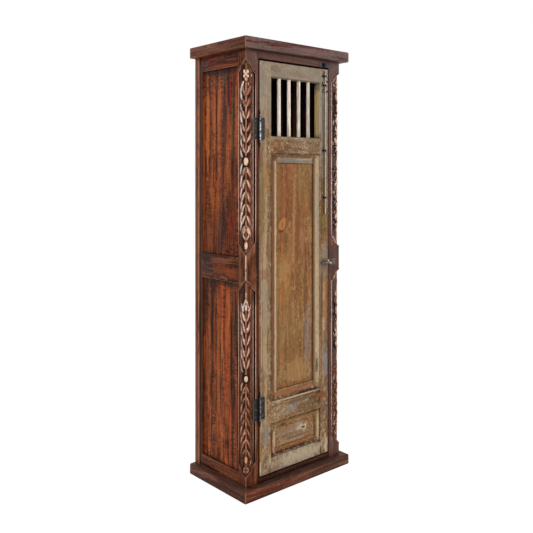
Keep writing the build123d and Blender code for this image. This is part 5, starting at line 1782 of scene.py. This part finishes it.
def garland_finish():
    """The material of the carving: stain and painted shade in the hollows, rubbed pale along the ridges with
    a painted highlight, and painted light or shade on whole leaves by their greyness.
    """
    wood = bpy.context.scene.trastero_wood
    material, n, shader = new_finish("garland_timber")
    place = n.make("TexCoord").outputs["Object"]
    grain = n.effect("wood_grain", place=place, board=0.35, scale=1.4)
    uneven = n.times(n.minus(n.noise(place, 110.0, 4.0, 0.65), 0.5), 0.60)
    x, _, z = n.split(place)
    at_right = n.remap(x, -0.1, 0.1)
    spots = n.remap(n.noise(place, 85.0, 4.0, 0.7), 0.42, 0.58, -0.04, 0.40)
    rub = n.plus(n.attribute("relief"), uneven, n.times(spots, at_right))
    low = n.remap(z, 0.52, 0.44, 0.0, 0.85)
    grey = n.attribute("grey")
    # Greyness above zero gives the pale colour of leaves in the light; below zero, painted shade.
    body = n.lay(linear(wood.carved), wood.carved_lit, n.remap(grey, 0.0, 1.0))
    body = n.lay(body, wood.hollow_stain_and_shade, n.remap(grey, 0.0, -1.0), dim=1.4)
    body = n.lay(body, wood.carved_low, low)
    body = n.lay(body, wood.deep, n.remap(grain["Streaks"], 0.40, 0.60, 0.32, 0.0))
    # Low relief, at the foot and sides of each leaf and in the slits between them, takes the dark of the
    # hollows: stain and painted shade.
    colour = n.mix(n.remap(rub, 0.12, 0.50), linear(wood.hollow_stain_and_shade), body)
    # The highest relief is rubbed pale: wear, and a painted highlight.
    ridge = n.remap(rub, 0.64, 0.92)
    high_up = n.times(n.remap(z, 1.60, 1.66, 0.0, 0.55), n.remap(z, 1.755, 1.742))
    rubbed = n.mix(n.most(low, high_up), linear(wood.ridge), linear(wood.ridge_low))
    # On the right post the ridges take the plain ridge colour, dimmed, as painted shade.
    rubbed = n.lay(rubbed, wood.ridge, at_right, 0.80, 0.78)
    colour = n.mix(ridge, colour, rubbed)
    tone = n.remap(grain["Fibres"], 0.25, 0.75, 0.82, 1.15)
    colour = n.toned(colour, tone)
    # Dirt and painted shade where the surroundings close in.
    dirt_and_shade = n.effect("hollow_dirt_and_shade", place=place, reach=0.010)["Dirt"]
    colour = n.lay(colour, wood.hollow_stain_and_shade, n.times(dirt_and_shade, n.remap(rub, 0.25, 0.80, 0.90, 0.10)), dim=0.5)
    roughness = n.remap(rub, 0.2, 0.9, 0.62, 0.42)
    surface(n, shader, colour, roughness, n.plus(grain["Fibres"], rub), 0.0006)
    return material


# ---------------------------------------------------------------- operators: stage
CABINET_MIDDLE = (0.0, 0.0, 0.95)


def seen_directly(n):
    """1 for rays that come from the camera or by way of a mirror or glass, and 0 for those that light."""
    rays = n.make("LightPath").outputs
    return n.most(rays["Is Camera Ray"], rays["Is Glossy Ray"], rays["Is Transmission Ray"])


class TRASTERO_OT_stage(bpy.types.Operator):
    """Sets the floor, the light and the camera"""
    bl_idname = "trastero.stage"
    bl_label = "Stage"

    def execute(self, context):
        stage = context.scene.trastero_stage
        bm = bmesh.new()
        bmesh.ops.create_grid(bm, x_segments=1, y_segments=1, size=30.0)
        mesh = bpy.data.meshes.new("studio_floor")
        bm.to_mesh(mesh)
        bm.free()
        floor = bpy.data.objects.new("studio_floor", mesh)
        context.scene.collection.objects.link(floor)
        mesh.materials.append(self.floor_finish(stage))
        self.lamp(context, "key_lamp", (-3.2, -3.0, 2.9), 2.4, stage.key_power)
        self.lamp(context, "fill_lamp", (2.9, -3.2, 2.2), 2.6, stage.fill_power)
        self.lamp(context, "back_lamp", (-2.8, 2.8, 2.6), 2.4, stage.back_power)
        self.world(context, stage)
        camera = bpy.data.cameras.new("studio_camera")
        camera.lens = stage.lens
        camera.sensor_width = 36.0
        camera.shift_y = stage.shift
        camera.clip_end = 200.0
        stand = bpy.data.objects.new("studio_camera", camera)
        stand.location = stage.camera_place
        stand.rotation_euler = (radians(90), 0.0, stage.camera_heading)
        context.scene.collection.objects.link(stand)
        context.scene.camera = stand
        context.scene.view_settings.view_transform = "Standard"
        return {"FINISHED"}

    def floor_finish(self, stage):
        material = bpy.data.materials.new("studio_floor")
        n = empty_nodes(material)
        matt = n.make("BsdfDiffuse")
        matt.inputs["Color"].default_value = linear(stage.floor)
        light = n.make("Emission")
        n.put(light.inputs["Strength"], n.times(seen_directly(n), stage.floor_lift))
        both = n.make("AddShader")
        n.put(both.inputs[0], matt.outputs[0])
        n.put(both.inputs[1], light.outputs[0])
        n.put(n.make("OutputMaterial").inputs["Surface"], both.outputs[0])
        return material

    def lamp(self, context, name, place, size, power):
        light = bpy.data.lights.new(name, "AREA")
        light.shape = "SQUARE"
        light.size = size
        light.energy = power
        lamp = bpy.data.objects.new(name, light)
        lamp.location = place
        lamp.rotation_euler = (Vector(CABINET_MIDDLE) - Vector(place)).to_track_quat("-Z", "Y").to_euler()
        context.scene.collection.objects.link(lamp)

    def world(self, context, stage):
        world = bpy.data.worlds.new("studio_world")
        context.scene.world = world
        n = empty_nodes(world)
        sky = n.make("Background")
        sky.inputs["Color"].default_value = WHITE
        n.put(sky.inputs["Strength"], n.blend(seen_directly(n), stage.ambient, 1.0))
        n.put(n.make("OutputWorld").inputs["Surface"], sky.outputs[0])


# ---------------------------------------------------------------- panel and main
OPERATORS = (
    TRASTERO_OT_effects,
    TRASTERO_OT_slabs,
    TRASTERO_OT_posts,
    TRASTERO_OT_sides,
    TRASTERO_OT_rails,
    TRASTERO_OT_inside,
    TRASTERO_OT_door_frame,
    TRASTERO_OT_door_panels,
    TRASTERO_OT_spindles,
    TRASTERO_OT_hinges,
    TRASTERO_OT_bolts,
    TRASTERO_OT_garlands,
    TRASTERO_OT_stage,
)


class TRASTERO_PT_panel(bpy.types.Panel):
    """Lists the steps that dress the cabinet, and their settings"""
    bl_idname = "TRASTERO_PT_panel"
    bl_label = "Trastero Cabinet"
    bl_space_type = "VIEW_3D"
    bl_region_type = "UI"
    bl_category = "Trastero"

    def draw(self, context):
        for operator in OPERATORS:
            self.layout.operator(operator.bl_idname)
        for name in SETTINGS:
            group = getattr(context.scene, name)
            box = self.layout.box()
            for setting in group.__annotations__:
                box.prop(group, setting)


SETTINGS = {
    "trastero_garland": TRASTERO_PG_garland,
    "trastero_wood": TRASTERO_PG_wood,
    "trastero_paint": TRASTERO_PG_paint,
    "trastero_iron": TRASTERO_PG_iron,
    "trastero_stage": TRASTERO_PG_stage,
}
CLASSES = (*SETTINGS.values(), *OPERATORS, TRASTERO_PT_panel)


def register():
    for item in CLASSES:
        bpy.utils.register_class(item)
    for name, group in SETTINGS.items():
        setattr(bpy.types.Scene, name, PointerProperty(type=group))


def unregister():
    for name in SETTINGS:
        delattr(bpy.types.Scene, name)
    for item in reversed(CLASSES):
        bpy.utils.unregister_class(item)


def main():
    register()
    for operator in OPERATORS:
        group, name = operator.bl_idname.split(".")
        getattr(getattr(bpy.ops, group), name)()


if __name__ == "__main__":
    main()
